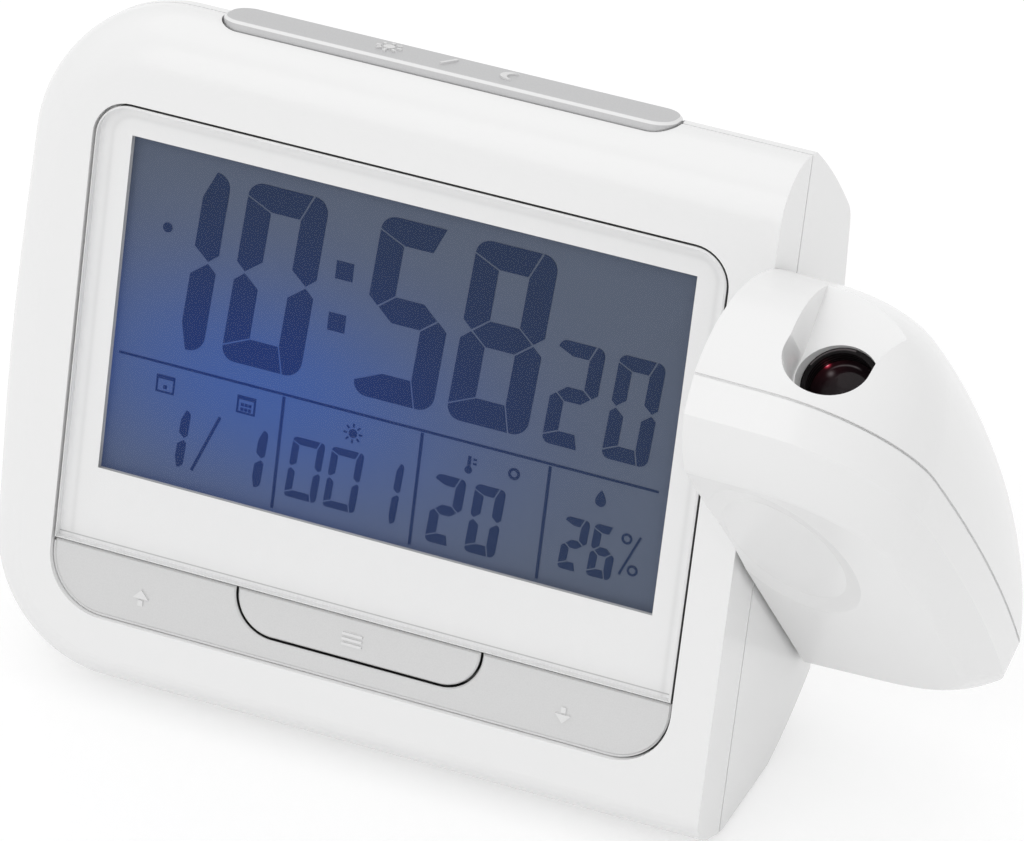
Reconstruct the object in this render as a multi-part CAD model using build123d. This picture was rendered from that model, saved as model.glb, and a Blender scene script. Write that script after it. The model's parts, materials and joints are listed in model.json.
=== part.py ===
from build123d import *
from math import atan, cos, degrees, radians, sin, sqrt, tan
import os

# A projection alarm clock, in millimetres: a leaning case with a large display, a silver key
# strip, a snooze bar on top, and a projector pod that turns on the right side of the case.
# The case is drawn in the display's own axes: x to the right, u up the display and the depth
# n behind its front. The pod is drawn in its own axes: x outwards, d along its seam, k up.

# --- driving dimensions: case ---
LEAN = 15.0                 # the display leans back from upright
DISPLAY_WIDTH = 94.0        # visible area
DISPLAY_HEIGHT = 54.8
DISPLAY_BOTTOM = 32.7       # above the front bottom edge, along the display
LEFT_BORDER = 13.2          # case beyond the window on its left
RIGHT_BORDER = 7.1          # and on its right, up to the flat side
TOP_BORDER = 14.8           # and above it, along the display
TOP_ROUND = 9.6             # rounding of the front's top edge
LEFT_ROUND = 6.5            # and of its left edge
BOTTOM_ROUND = 5.0          # and of its bottom edge
BOTTOM_LIFT = 2.5           # the flat front ends this far above the front bottom edge
BOTTOM_DROP = 4.0           # and its rounding falls by this much
CORNER = 22.0               # corner radius of the two left corners
SIDE_BOW = 1.6              # the left side bulges by this much
CREST_DEPTH = 12.4          # depth at which the top starts to fall to the back
BACK_SLOPE = 36.0           # fall of the top, from the display's normal
BACK_BOW = 0.9              # the falling top is bowed outwards by this much
BACK_DEPTH = 33.0           # depth of the back face at its upper end
BACK_TAPER = 8.5            # the back face leans away from the display's plane
BACK_ROUND = 6.0            # rounding between the falling top and the back face
SIDE_TAPER = 0.1            # the left side draws in by this share of the depth
SEAM_DEPTH = 10.8           # front and back shells meet here
BASE_DROP = 6.0             # underside below the front bottom edge, measured upright
BASE_SAG = 3.0              # bowl of the underside below that edge, along the display
BASE_REACH = 13.7           # depth over which the bowl rises back to that edge
WALL = 2.2
SEAM_GROOVE = 0.4
FOOT_STAND = 0.6            # the feet lift the shells by this much
FAR = 300.0                 # well beyond the whole clock

# --- driving dimensions: window and keys ---
WINDOW_SIDE = 5.4           # border of the window beside the display
WINDOW_TOP = 5.1
WINDOW_BOTTOM = 12.5
WINDOW_CORNER = 5.6
WINDOW_THICK = 2.0
WINDOW_CHAMFER = 0.3
PLATE_GAP = 0.45            # shadow gap round the window and the key strip
FRAME_REACH = 2.6           # the thick frame reaches this far beyond the window
STRIP_HEIGHT = 11.0
STRIP_CORNER = 9.0
STRIP_THICK = 2.5
STRIP_SINK = 0.8            # keys lie this far below the window's front
KEY_CHAMFER = 0.25
KEY_GAP = 0.45
MODE_WIDTH = 41.2
MODE_HEIGHT = 7.3
MODE_CORNER = 6.3
KEY_TRAVEL = 1.0
KEY_STEM = 3.2              # diameter of the stems behind the keys
STEM_CLEARANCE = 0.7        # round a stem in its hole
STEM_PLACE = 41.0           # from the middle to the stems of the outer keys
STEM_SHARE = 0.55           # height of the stems in the strip
MODE_STEM_UP = 1.2          # the middle stem stands this much higher
PIVOT_RADIUS = 0.7          # rocking rib behind the strip
KEY_FLOOR_THICK = 1.6
STOP_GAP = 0.1              # a key or the bar ends this far before its switch
SNOOZE_LENGTH = 75.0
SNOOZE_WIDTH = 8.4
SNOOZE_CORNER = 3.6
SNOOZE_ACROSS = 0.65        # its middle, right of the display's middle
SNOOZE_DEPTH = 10.1         # its centre line, behind the display's plane
SNOOZE_PROUD = 0.7
SNOOZE_CHAMFER = 0.45
SNOOZE_TRAVEL = 1.2
SNOOZE_GAP = 0.3
SNOOZE_FLANGE = 1.6         # the inner flange stands out by this much
SNOOZE_FLANGE_THICK = 1.3
SNOOZE_PUSHER = 1.4         # length of the pusher under the flange

# --- driving dimensions: display stack and board ---
GLASS_BORDER = 3.0
GLASS_THICK = 2.2
GLASS_VIEW = 0.6            # the opening clears the visible area by this much
LEDGE_THICK = 1.2
GUIDE_THICK = 3.5
HOLDER_WALL = 1.5
HOLDER_LIP = 1.6            # the holder's lip behind the light guide
ZEBRA_HALF = 44.0
ZEBRA_WIDE = 1.8
BOARD_DEPTH = 13.5
BOARD_THICK = 1.6
SWITCH_HEIGHT = 3.4
SWITCH_SIZE = 6.0
SNOOZE_SWITCH = 3.0         # the snooze switch, along the display
PLUNGER = 0.8               # switch plunger above its body
FIT = 0.1                   # clearance of pieces that drop in

# --- driving dimensions: pod ---
POD_LENGTH = 98.0
POD_WIDTH = 35.6
POD_HEIGHT = 30.0           # above its seam
POD_CREST = 45.4            # from the nose to the crest
POD_NOSE = 23.0             # rounding of the front corner, seen along k
POD_NOSE_TOP = 20.5         # and at the crest
POD_SHOULDER = 5.0          # the front line ends this far inside the widest place
POD_FRONT_RISE = 1.6        # and this far behind the nose
POD_WIDEST = 0.62           # share of the length at which the pod is widest
POD_HEEL = 1.6              # the side draws in by this much at the tail
POD_TAIL_ROUND = 9.0
POD_TAIL_FLAT = 25.6        # from the crest to where the tail starts to round, at the top
POD_TAIL_TOP = POD_LENGTH - POD_CREST - POD_TAIL_FLAT
POD_TAIL_SLANT = 3.0
DOME_SIDE = (2.06, 2.54)    # how each side of the dome closes with height: two exponents
DOME_FRONT = (2.09, 2.09)
DOME_TAIL = (1.3, 1.3)
POD_BAND = 6.0              # band below the seam
BAND_FRONT = 1.86           # the band draws in by this much at the front
BAND_SIDE = 0.7             # and at the side
POD_BELLY = 11.7            # depth of the flat bottom below the seam, at the nose
POD_BELLY_RISE = 1.3        # the bottom rises to the tail by this angle
BELLY_FRONT = (9.96, 0.66)  # how far the belly draws in at the front, and its exponent
BELLY_SIDE = (5.69, 0.47)
BELLY_TAIL = 0.2
BELLY_TAIL_ROUND = 15.8
POD_WALL = 2.0
POD_TILT = 54.0             # the seam falls this much to the back
POD_GAP = 0.8               # between the pod and the case's side
DISH_PLACE = (9.3, 40.0)    # shallow oval dish in the pod's bottom: across and along
DISH_RADII = (11.0, 26.0)
DISH_DEPTH = 0.5
DISH_SLOPE = 0.2            # its rim takes this share of its size
HUB_ALONG = 48.5            # hub centre from the nose, along d
HUB_UP = 7.8                # and above the seam
HUB_HEIGHT = 61.0           # hub centre above the front bottom edge, along the display
HUB_RADIUS = 6.0
HUB_BORE = 4.0
HUB_FLANGE = 8.2
WASHER_REACH = 4.0          # the washer reaches this far beyond the hub
FLANGE_THICK = 2.0
RUNNING = 0.05              # radial clearance of running fits

# --- driving dimensions: projector ---
LENS_ACROSS = 17.0          # from the pod's inner side to the optical axis
LENS_UP = 8.0
POCKET_RADIUS = 6.2
POCKET_DEPTH = 11.0
POCKET_LEAN = 20.0          # the pocket's back wall leans away
POCKET_FLARE = 7.0          # its side walls open outwards by this angle
POCKET_UPRIGHT = 2.2        # from this height above the optical axis
POCKET_WALL = 1.5
BARREL_RADIUS = 6.0
BARREL_BORE = 5.2
BARREL_START = 14.0
BARREL_LENGTH = 26.0
SLEEVE_END = 18.0           # the shell's sleeve round the barrel ends here
BOX_SIZE = 15.0             # square lamp box behind the barrel
BOX_LENGTH = 9.0
BOX_WALL = 1.5
LENS_THICK = 1.4
LED_RADIUS = 1.5
LED_HEIGHT = 1.0

# --- driving dimensions: battery bay and back ---
BAY_LEFT = 46.0
BAY_RIGHT = 44.0
BAY_REAR = 54.0             # upright rear of the bay, behind the front bottom edge
BAY_HEIGHT = 36.0
BAY_FLOOR_FRONT = 18.0
BAY_ROUND = 3.5
BAY_ROOF = 14.0             # depth of the bay's sloping roof
CELL_RADIUS = 5.25
CELL_LENGTH = 44.5
CELL_PITCH = 11.6
CELL_LOW = 10.0             # centre of the lower cell above the shell's underside
CELL_REAR = 8.4             # centre of the cells before the bay's rear
CELL_GAP = 0.9              # between the cells and the tray
TRAY_WALL = 1.6
CONTACT_ROOM = 4.0          # beyond each end of the cells
DOOR_THICK = 1.8
DOOR_LIP = 2.0
GRIP_RIBS = 5
GRIP_PITCH = 1.6
FOOT_RADIUS = 4.0
FOOT_THICK = 1.4
SCREW_RADIUS = 1.3
SCREW_HEAD = 2.6
SCREW_HEAD_THICK = 1.6
SCREW_SLOT = 0.7
THREAD_BITE = 0.3           # a core hole or clearance hole differs by this much
BOSS_RADIUS = 3.4
POST_RADIUS = 2.2
TUNNEL_RADIUS = 3.0
TUNNEL_WALL = 1.2
JACK_RADIUS = 4.0
JACK_BORE = 2.9
JACK_PIN = 0.75
JACK_SIZE = (10.0, 9.5, 11.0)
SWITCH_TRAVEL = 3.0
KNOB = (5.8, 3.6)           # slide knob, along its travel and across
HOLE_RADIUS = 0.9           # sound holes
HOLE_PITCH = 3.2
GRILLE_RINGS = 2
BUZZER_RADIUS = 10.0
BUZZER_THICK = 5.0

# --- derived values ---
WINDOW_WIDTH = DISPLAY_WIDTH + 2 * WINDOW_SIDE
WINDOW_LOW = DISPLAY_BOTTOM - WINDOW_BOTTOM
WINDOW_HIGH = DISPLAY_BOTTOM + DISPLAY_HEIGHT + WINDOW_TOP
CASE_LEFT = WINDOW_WIDTH / 2 + LEFT_BORDER
CASE_RIGHT = WINDOW_WIDTH / 2 + RIGHT_BORDER
CASE_TOP = WINDOW_HIGH + TOP_BORDER
STRIP_LOW = WINDOW_LOW - STRIP_HEIGHT
DISPLAY_MIDDLE = DISPLAY_BOTTOM + DISPLAY_HEIGHT / 2
LEDGE_BACK = WINDOW_THICK + FIT + LEDGE_THICK
GLASS_BACK = LEDGE_BACK + FIT + GLASS_THICK
GUIDE_BACK = GLASS_BACK + FIT + GUIDE_THICK
ZEBRA_LOW = DISPLAY_BOTTOM - GLASS_BORDER + 3 * FIT
GUIDE_LOW = ZEBRA_LOW + ZEBRA_WIDE + 4 * FIT
STRIP_BACK = STRIP_SINK + STRIP_THICK
KEY_FLOOR = STRIP_BACK + 2 * PIVOT_RADIUS + RUNNING
BOARD_BACK = BOARD_DEPTH + BOARD_THICK
SIDE_INNER = CASE_RIGHT - WALL
POD_START = CASE_RIGHT + POD_GAP
SCREW_CORE = SCREW_RADIUS - THREAD_BITE
SCREW_CLEAR = SCREW_RADIUS + THREAD_BITE
BARREL_END = BARREL_START + BARREL_LENGTH
BOX_START = BARREL_END - BOX_LENGTH

lean = radians(LEAN)
UP_FACE = Vector(0, sin(lean), cos(lean))
INTO_FACE = Vector(0, cos(lean), -sin(lean))
GROUND = FOOT_STAND + BASE_DROP          # height of the front bottom edge
FACE = Plane(origin=(0, 0, GROUND), x_dir=(1, 0, 0), z_dir=-INTO_FACE)
SIDE_VIEW = Plane(origin=(-FAR, 0, 0), x_dir=(0, 1, 0), z_dir=(1, 0, 0))
tilt = radians(POD_TILT)
ALONG = Vector(0, cos(tilt), -sin(tilt))
UPWARDS = Vector(0, sin(tilt), cos(tilt))
HUB = FACE.origin + UP_FACE * HUB_HEIGHT + INTO_FACE * SEAM_DEPTH
POD_ORIGIN = HUB + Vector(POD_START, 0, 0) - ALONG * HUB_ALONG - UPWARDS * HUB_UP
POD = Plane(origin=POD_ORIGIN, x_dir=(1, 0, 0), z_dir=UPWARDS)


def at(x, u, n):
    """A place in the case's own axes: right, up the display, and n behind its front."""
    return Pos(x, u, -n)


def block(x0, x1, u0, u1, n0, n1):
    """A box between two depths of the case."""
    size = (x1 - x0, u1 - u0, n1 - n0)
    middle = ((x0 + x1) / 2, (u0 + u1) / 2, (n0 + n1) / 2)
    return at(*middle) * Box(*size)


def post(x, u, n0, n1, radius):
    """A round bar that runs into the case, between two depths."""
    return at(x, u, (n0 + n1) / 2) * Cylinder(radius, n1 - n0)


def upright(shape):
    """Brings a shape drawn upright on the ground into the case's own axes."""
    return FACE.location.inverse() * shape


def arc_rise(depth, radius):
    """How far a quarter round of this radius has swung out at a depth."""
    inside = max(0.0, 1 - depth / radius)
    return radius * sqrt(1 - inside * inside)


# ---------------------------------------------------------------- the case's outer form
def case_outline(depth, left, bottom, top, corner):
    """The case's outline at one depth: two round left corners, a bowed left side."""
    right = CASE_RIGHT + CORNER
    middle = (bottom + top) / 2
    points = [(-left + SIDE_BOW, bottom), (right, bottom), (right, top), (-left + SIDE_BOW, top),
              (-left, middle)]
    sheet = make_face(Polyline(*points, close=True))
    corners = sheet.vertices().filter_by(lambda v: -left + SIDE_BOW / 2 < v.X < 0)
    sheet = fillet(corners, corner)
    half = (top - bottom) / 2
    waist = sheet.vertices().sort_by(Axis.X)[0]
    longest = (half - corner) * half / SIDE_BOW      # radius that would use up both sides
    sheet = fillet(waist, 0.4 * longest)
    return Plane.XY.offset(-depth) * sheet


def underside(depth):
    """Height of the underside behind the front bottom edge: a shallow bowl."""
    return BASE_SAG * ((max(0.0, depth - CREST_DEPTH) / BASE_REACH) ** 2 - 1)


def falling_top(depth):
    """Height of the top behind its crest: a bowed fall."""
    behind = depth - CREST_DEPTH
    share = behind / (BACK_DEPTH - CREST_DEPTH)
    return CASE_TOP - tan(radians(BACK_SLOPE)) * behind + 4 * BACK_BOW * share * (1 - share)


def case_form(inset):
    """The case's outer form, or its hollow, drawn in by an inset."""
    front = []
    for share in (0.0, 0.08, 0.28, 0.6, 1.0):
        depth = share * TOP_ROUND
        left = CASE_LEFT - LEFT_ROUND + arc_rise(min(depth, LEFT_ROUND), LEFT_ROUND)
        top = CASE_TOP - TOP_ROUND + arc_rise(depth, TOP_ROUND)
        turned = arc_rise(min(depth, BOTTOM_ROUND), BOTTOM_ROUND) / BOTTOM_ROUND
        settle = BOTTOM_LIFT - BOTTOM_DROP + BASE_SAG
        bottom = BOTTOM_LIFT - BOTTOM_DROP * turned - settle * share
        corner = CORNER - CASE_LEFT + left
        front.append(case_outline(depth + inset * (1 - share), left - inset, bottom + inset,
                                  top - inset, corner - inset))
    crest = case_outline(CREST_DEPTH, CASE_LEFT - inset, underside(CREST_DEPTH) + inset,
                         CASE_TOP - inset, CORNER - inset)
    form = loft(front) + loft([front[-1], crest], ruled=True)
    rear = []
    last = BACK_DEPTH + BASE_DROP * 2.5
    for share in (0.0, 0.3, 0.6, 1.0):
        depth = CREST_DEPTH + share * (last - CREST_DEPTH)
        left = CASE_LEFT - SIDE_TAPER * (depth - CREST_DEPTH)
        rear.append(case_outline(depth, left - inset, underside(depth) + inset,
                                 falling_top(depth) - inset, CORNER - inset))
    form = form + loft(rear)
    return form


def back_plane(inset):
    """The back face, in the case's axes, with its outward normal as z."""
    origin = Vector(0, CASE_TOP - CORNER + 4, -(BACK_DEPTH - inset))
    taper = radians(BACK_TAPER)
    return Plane(origin=origin, x_dir=(-1, 0, 0), z_dir=(0, sin(taper), -cos(taper)))


def back_limit(inset):
    """Side view of the room before the back face and under the end of the falling top."""
    origin = back_plane(inset).origin
    before = Pos(origin.Y, origin.Z) * Rot(0, 0, BACK_TAPER) * Pos(0, FAR / 2) * Rectangle(
        2 * FAR, FAR)
    end_fall = tan(radians(BACK_SLOPE)) + 4 * BACK_BOW / (BACK_DEPTH - CREST_DEPTH)
    meeting = (falling_top(BACK_DEPTH) - inset, -BACK_DEPTH)
    below = Pos(*meeting) * Rot(0, 0, -degrees(atan(end_fall))) * Pos(-FAR / 2, 0) * Rectangle(
        FAR, 2 * FAR)
    sheet = before & below
    edge = sheet.vertices().sort_by_distance((*meeting, 0))[0]
    return SIDE_VIEW * extrude(fillet(edge, BACK_ROUND - inset), 2 * FAR)


def trimmed_case(inset):
    """The form cut by the flat right side, the flat base and the leaning back."""
    right = CASE_RIGHT - inset
    form = case_form(inset) & block(-FAR, right, -FAR, FAR, -FAR, FAR)
    base = Pos(0, 0, FOOT_STAND + inset + FAR / 2) * Box(2 * FAR, 2 * FAR, FAR)
    return form & upright(base) & back_limit(inset)


# ---------------------------------------------------------------- window and key shapes
def window_sheet(grow):
    """The window and the key strip below it share one round-cornered field."""
    low = STRIP_LOW - grow
    high = WINDOW_HIGH + grow
    half = WINDOW_WIDTH / 2 + grow
    sheet = make_face(Polyline((-half, low), (half, low), (half, high), (-half, high), close=True))
    lower = sheet.vertices().group_by(Axis.Y)[0]
    sheet = fillet(lower, STRIP_CORNER + grow)
    upper = sheet.vertices().group_by(Axis.Y)[-1]
    return fillet(upper, WINDOW_CORNER + grow)


def mode_sheet(grow):
    """The middle key: straight top against the window, round lower corners."""
    half = MODE_WIDTH / 2 + grow
    high = WINDOW_LOW - PLATE_GAP + 2 * grow
    low = WINDOW_LOW - MODE_HEIGHT - grow
    sheet = make_face(Polyline((-half, low), (half, low), (half, high), (-half, high), close=True))
    return fillet(sheet.vertices().group_by(Axis.Y)[0], MODE_CORNER + grow)


def slab(sheet, n0, n1):
    """A flat outline carried between two depths."""
    return Plane.XY.offset(-n1) * extrude(sheet, n1 - n0)


def bar_shape(grow, u0, u1):
    """The snooze bar's outline, grown all round, carried up the display."""
    top = Plane(origin=(SNOOZE_ACROSS, u0, -SNOOZE_DEPTH), x_dir=(1, 0, 0), z_dir=(0, 1, 0))
    sheet = RectangleRounded(SNOOZE_LENGTH + 2 * grow, SNOOZE_WIDTH + 2 * grow,
                             SNOOZE_CORNER + grow)
    return top * extrude(sheet, u1 - u0)


def pivot_bar(radius, x0, x1):
    """A round bar along x on the pod's pivot axis."""
    place = Pos((x0 + x1) / 2, HUB_HEIGHT, -SEAM_DEPTH)
    return place * Rot(0, 90, 0) * Cylinder(radius, x1 - x0)


# ---------------------------------------------------------------- places shared by pieces
POST_BESIDE = (4.2, 1.8)    # board posts beyond the window's left and right edges
POST_ABOVE = 1.3            # lower posts above the display's lower edge
POST_BELOW = 3.5            # upper posts below its upper edge
POST_LEFT = -WINDOW_WIDTH / 2 - POST_BESIDE[0]
POST_RIGHT = WINDOW_WIDTH / 2 + POST_BESIDE[1]
BOARD_POSTS = [(x, u) for x in (POST_LEFT, POST_RIGHT)
               for u in (DISPLAY_BOTTOM + POST_ABOVE, DISPLAY_BOTTOM + DISPLAY_HEIGHT - POST_BELOW)]
LOW_BOSSES = (14.6, 8.0)    # lower case bosses inside the left and the right side
HIGH_BOSSES = (17.6, 9.0)   # and the upper ones
BOSS_ABOVE = 1.8            # lower bosses above the window's lower edge
BOSS_BELOW = 11.1           # upper bosses below the case's top
CASE_BOSSES = [(LOW_BOSSES[0] - CASE_LEFT, WINDOW_LOW + BOSS_ABOVE),
               (CASE_RIGHT - LOW_BOSSES[1], WINDOW_LOW + BOSS_ABOVE),
               (HIGH_BOSSES[0] - CASE_LEFT, CASE_TOP - BOSS_BELOW),
               (CASE_RIGHT - HIGH_BOSSES[1], CASE_TOP - BOSS_BELOW)]
FRONT_BOSS_END = 16.0
SCREW_SEAT = 21.0           # depth of the case screws' heads
CASE_SCREW_LENGTH = 11.0
BOARD_SCREW_LENGTH = 5.5
POST_HOLE = 6.0
STEM_LINE = STRIP_LOW + STRIP_HEIGHT * STEM_SHARE
KEY_PLACES = [(-STEM_PLACE, STEM_LINE), (0.0, STEM_LINE + MODE_STEM_UP), (STEM_PLACE, STEM_LINE)]
SWITCH_TOP = BOARD_DEPTH - SWITCH_HEIGHT
STEM_END = SWITCH_TOP - KEY_TRAVEL - STOP_GAP
HOLDER_WIDTH = DISPLAY_WIDTH + 2 * GLASS_BORDER + 2 * HOLDER_WALL
HOLDER_HEIGHT = DISPLAY_HEIGHT + 2 * GLASS_BORDER + 2 * HOLDER_WALL
BOARD_LOW = DISPLAY_MIDDLE - HOLDER_HEIGHT / 2 - 0.5
BOARD_HIGH = DISPLAY_MIDDLE + HOLDER_HEIGHT / 2 - 1.0


def roof(depth):
    """Height of the hollow's roof before the crest."""
    share = (depth - WALL) / (TOP_ROUND - WALL)
    return CASE_TOP - TOP_ROUND - WALL + arc_rise(share * TOP_ROUND, TOP_ROUND)


FLANGE_TOP = roof(SNOOZE_DEPTH - SNOOZE_WIDTH / 2 - SNOOZE_FLANGE) - SNOOZE_GAP
FLANGE_DOWN = FLANGE_TOP - SNOOZE_FLANGE_THICK
SNOOZE_SWITCH_TOP = FLANGE_DOWN - SNOOZE_PUSHER - SNOOZE_TRAVEL - STOP_GAP
SWITCH_TAB = SNOOZE_SWITCH_TOP - PLUNGER
SNOOZE_SWITCH_N = BOARD_DEPTH - 2.0


def bay_profile(inset):
    """Side view of the battery bay, upright: flat on the ground, round rear corner."""
    floor = FOOT_STAND + inset
    front = BAY_FLOOR_FRONT + inset
    rear = BAY_REAR - inset
    high = FOOT_STAND + BAY_HEIGHT - inset
    points = [(front, floor), (rear, floor), (rear, high), (rear - BAY_ROOF, high + BAY_ROOF),
              (front, high + BAY_ROOF)]
    sheet = make_face(Polyline(*points, close=True))
    hard = sheet.vertices().filter_by(lambda v: v.X > rear - 1)
    return fillet(hard, BAY_ROUND - inset)


def bay_block(inset):
    """The battery bay's outer form, or its hollow, in the case's axes."""
    side = Plane(origin=(-BAY_LEFT + inset, 0, 0), x_dir=(0, 1, 0), z_dir=(1, 0, 0))
    body = side * extrude(bay_profile(inset), BAY_LEFT + BAY_RIGHT - 2 * inset)
    limit = block(-FAR, FAR, -FAR, FAR, SEAM_DEPTH + WALL, FAR)
    return upright(body) & limit


CELL_HEIGHTS = [FOOT_STAND + CELL_LOW, FOOT_STAND + CELL_LOW + CELL_PITCH]
CELL_Y = BAY_REAR - CELL_REAR
TRAY_FRONT = CELL_Y - CELL_RADIUS - CELL_GAP + FIT
TRAY_HALF = CELL_LENGTH / 2 + CONTACT_ROOM
TRAY_LOW = CELL_HEIGHTS[0] - CELL_RADIUS - CELL_GAP
TRAY_HIGH = CELL_HEIGHTS[1] + CELL_RADIUS + CELL_GAP


def world_block(x0, x1, y0, y1, z0, z1):
    """A box given upright, brought into the case's axes."""
    middle = Pos((x0 + x1) / 2, (y0 + y1) / 2, (z0 + z1) / 2)
    return upright(middle * Box(x1 - x0, y1 - y0, z1 - z0))


FOOT_FRONT = 17.5           # front feet behind the front bottom edge
FOOT_REAR = 8.5             # rear feet before the bay's rear
FEET = [(8.0 - BAY_LEFT, FOOT_FRONT), (BAY_RIGHT + 2.0, FOOT_FRONT),
        (10.0 - BAY_LEFT, BAY_REAR - FOOT_REAR), (BAY_RIGHT - 10.0, BAY_REAR - FOOT_REAR)]


def feet(radius, low, high):
    """Four round feet: two under the case's front, two under the bay."""
    discs = [Pos(x, y, (low + high) / 2) * Cylinder(radius, high - low) for x, y in FEET]
    return [upright(disc) for disc in discs]


# ---------------------------------------------------------------- case pieces
def front_shell(outer, hollow):
    cut = block(-FAR, FAR, -FAR, FAR, -FAR, SEAM_DEPTH)
    shell = (outer - hollow) & cut
    # thick frame behind the window, deeper behind the keys
    inner = outer & cut
    frame = window_sheet(FRAME_REACH)
    shell = shell + (slab(frame, WALL / 2, LEDGE_BACK) & inner)
    floor = KEY_FLOOR + KEY_FLOOR_THICK
    keys = block(-FAR, FAR, -FAR, WINDOW_LOW + LEDGE_THICK, 0, floor)
    shell = shell + (keys & slab(frame, WALL / 2, floor) & inner)
    for x, u in BOARD_POSTS:
        shell = shell + post(x, u, WALL / 2, BOARD_DEPTH, POST_RADIUS)
    for x, u in CASE_BOSSES:
        shell = shell + (post(x, u, WALL / 2, FRONT_BOSS_END, BOSS_RADIUS) & outer)
    # window recess with its display opening, key recess with its stem holes
    shell = shell - slab(window_sheet(PLATE_GAP), -1, WINDOW_THICK + FIT)
    half = DISPLAY_WIDTH / 2 + GLASS_VIEW
    shell = shell - block(-half, half, DISPLAY_BOTTOM - GLASS_VIEW,
                          DISPLAY_BOTTOM + DISPLAY_HEIGHT + GLASS_VIEW, -1, LEDGE_BACK + 1)
    well = slab(window_sheet(PLATE_GAP), -1, KEY_FLOOR)
    shell = shell - (well & block(-FAR, FAR, -FAR, WINDOW_LOW - PLATE_GAP, -1, FAR))
    for x, u in KEY_PLACES:
        shell = shell - post(x, u, 0, floor + 1, KEY_STEM / 2 + STEM_CLEARANCE)
    for x, u in BOARD_POSTS:
        shell = shell - post(x, u, BOARD_DEPTH - POST_HOLE, BOARD_DEPTH + 1, SCREW_CORE)
    for x, u in CASE_BOSSES:
        shell = shell - post(x, u, LEDGE_BACK + WALL, FRONT_BOSS_END + 1, SCREW_CORE)
    shell = shell - bar_shape(SNOOZE_GAP, FLANGE_DOWN, CASE_TOP + CORNER)
    shell = shell - pivot_bar(HUB_RADIUS + RUNNING, SIDE_INNER - WALL, CASE_RIGHT + 1)
    return shell - seam_groove(outer, SEAM_DEPTH - SEAM_GROOVE, SEAM_DEPTH)


def seam_groove(outer, n0, n1):
    """A shallow groove all round the case, between two depths."""
    ring = outer & block(-FAR, FAR, -FAR, FAR, n0, n1)
    middle = (n0 + n1) / 2
    inside = slab(case_outline(0, CASE_LEFT - SEAM_GROOVE, underside(middle) + SEAM_GROOVE,
                               CASE_TOP - SEAM_GROOVE, CORNER - SEAM_GROOVE), n0 - 1, n1 + 1)
    keep = block(-FAR, CASE_RIGHT - SEAM_GROOVE, -FAR, FAR, n0 - 1, n1 + 1)
    return ring - (inside & keep)


def back_shell(outer, hollow):
    cut = block(-FAR, FAR, -FAR, FAR, SEAM_DEPTH, FAR)
    shell = (outer + bay_block(0)) - hollow - bay_block(WALL)
    shell = shell & cut
    room = (outer + bay_block(0)) & cut
    # walls of the battery tray, open to the rear
    tray = world_block(-TRAY_HALF - TRAY_WALL, TRAY_HALF + TRAY_WALL, TRAY_FRONT - TRAY_WALL,
                       BAY_REAR - BOX_WALL, TRAY_LOW - TRAY_WALL, TRAY_HIGH + TRAY_WALL)
    shell = shell + (tray & room)
    shell = shell - world_block(-TRAY_HALF, TRAY_HALF, TRAY_FRONT, BAY_REAR + 1,
                                TRAY_LOW, TRAY_HIGH)
    shell = shell - world_block(-TRAY_HALF - DOOR_LIP, TRAY_HALF + DOOR_LIP,
                                BAY_REAR - DOOR_THICK - FIT, BAY_REAR + DOOR_THICK,
                                TRAY_LOW - DOOR_LIP, TRAY_HIGH + DOOR_LIP)
    for x, u in CASE_BOSSES:
        tunnel = post(x, u, FRONT_BOSS_END, FAR, TUNNEL_RADIUS + TUNNEL_WALL)
        shell = shell + (tunnel & room)
        shell = shell - post(x, u, 0, FAR, SCREW_CLEAR)
        shell = shell - post(x, u, SCREW_SEAT, FAR, TUNNEL_RADIUS)
    shell = shell - bar_shape(SNOOZE_GAP, FLANGE_DOWN, CASE_TOP + CORNER)
    shell = shell - pivot_bar(HUB_RADIUS + RUNNING, SIDE_INNER - WALL, CASE_RIGHT + 1)
    for disc in feet(FOOT_RADIUS + FIT, -1, FOOT_THICK):
        shell = shell - disc
    deep = WALL + BUZZER_THICK
    ring = BACK * Pos(*GRILLE_PLACE, -deep / 2) * (
        Cylinder(BUZZER_RADIUS + TUNNEL_WALL, deep) - Cylinder(BUZZER_RADIUS + FIT, deep + 1))
    shell = shell + (ring & hollow)
    shell = shell - jack_bar(JACK_RADIUS + FIT, -1, JACK_SIZE[2]) - switch_window()
    for x, v in grille_places():
        shell = shell - BACK * Pos(x, v, 0) * Cylinder(HOLE_RADIUS, 4 * WALL)
    return shell


# ---------------------------------------------------------------- the back face
BACK = back_plane(0)
BACK_ROW = -36.0            # the socket and the slide switch, below the back's upper end
JACK_INSET = 21.6           # from the socket to the case's rounded side
SWITCH_INSET = 21.5         # from the slide switch to the flat side
JACK_PLACE = (CASE_LEFT - JACK_INSET, BACK_ROW)
SWITCH_PLACE = (SWITCH_INSET - CASE_RIGHT, BACK_ROW)
GRILLE_PLACE = (0.0, -22.0)


def grille_places():
    """A sound hole in the middle and rings of holes round it."""
    x0, v0 = GRILLE_PLACE
    places = [(x0, v0)]
    for ring in range(1, GRILLE_RINGS + 1):
        spots = PolarLocations(HOLE_PITCH * ring, 6 * ring)
        places += [(x0 + spot.position.X, v0 + spot.position.Y) for spot in spots]
    return places


def jack_bar(radius, n0, n1):
    """A round bar into the back face at the power socket."""
    return BACK * Pos(*JACK_PLACE, -(n0 + n1) / 2) * Cylinder(radius, n1 - n0)


def switch_window():
    """The slot in which the slide knob travels."""
    x, v = SWITCH_PLACE
    wide, high = KNOB
    return BACK * Pos(x, v, 0) * Box(wide + SWITCH_TRAVEL + 3 * FIT, high + 4 * FIT, 6 * WALL)


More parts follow.
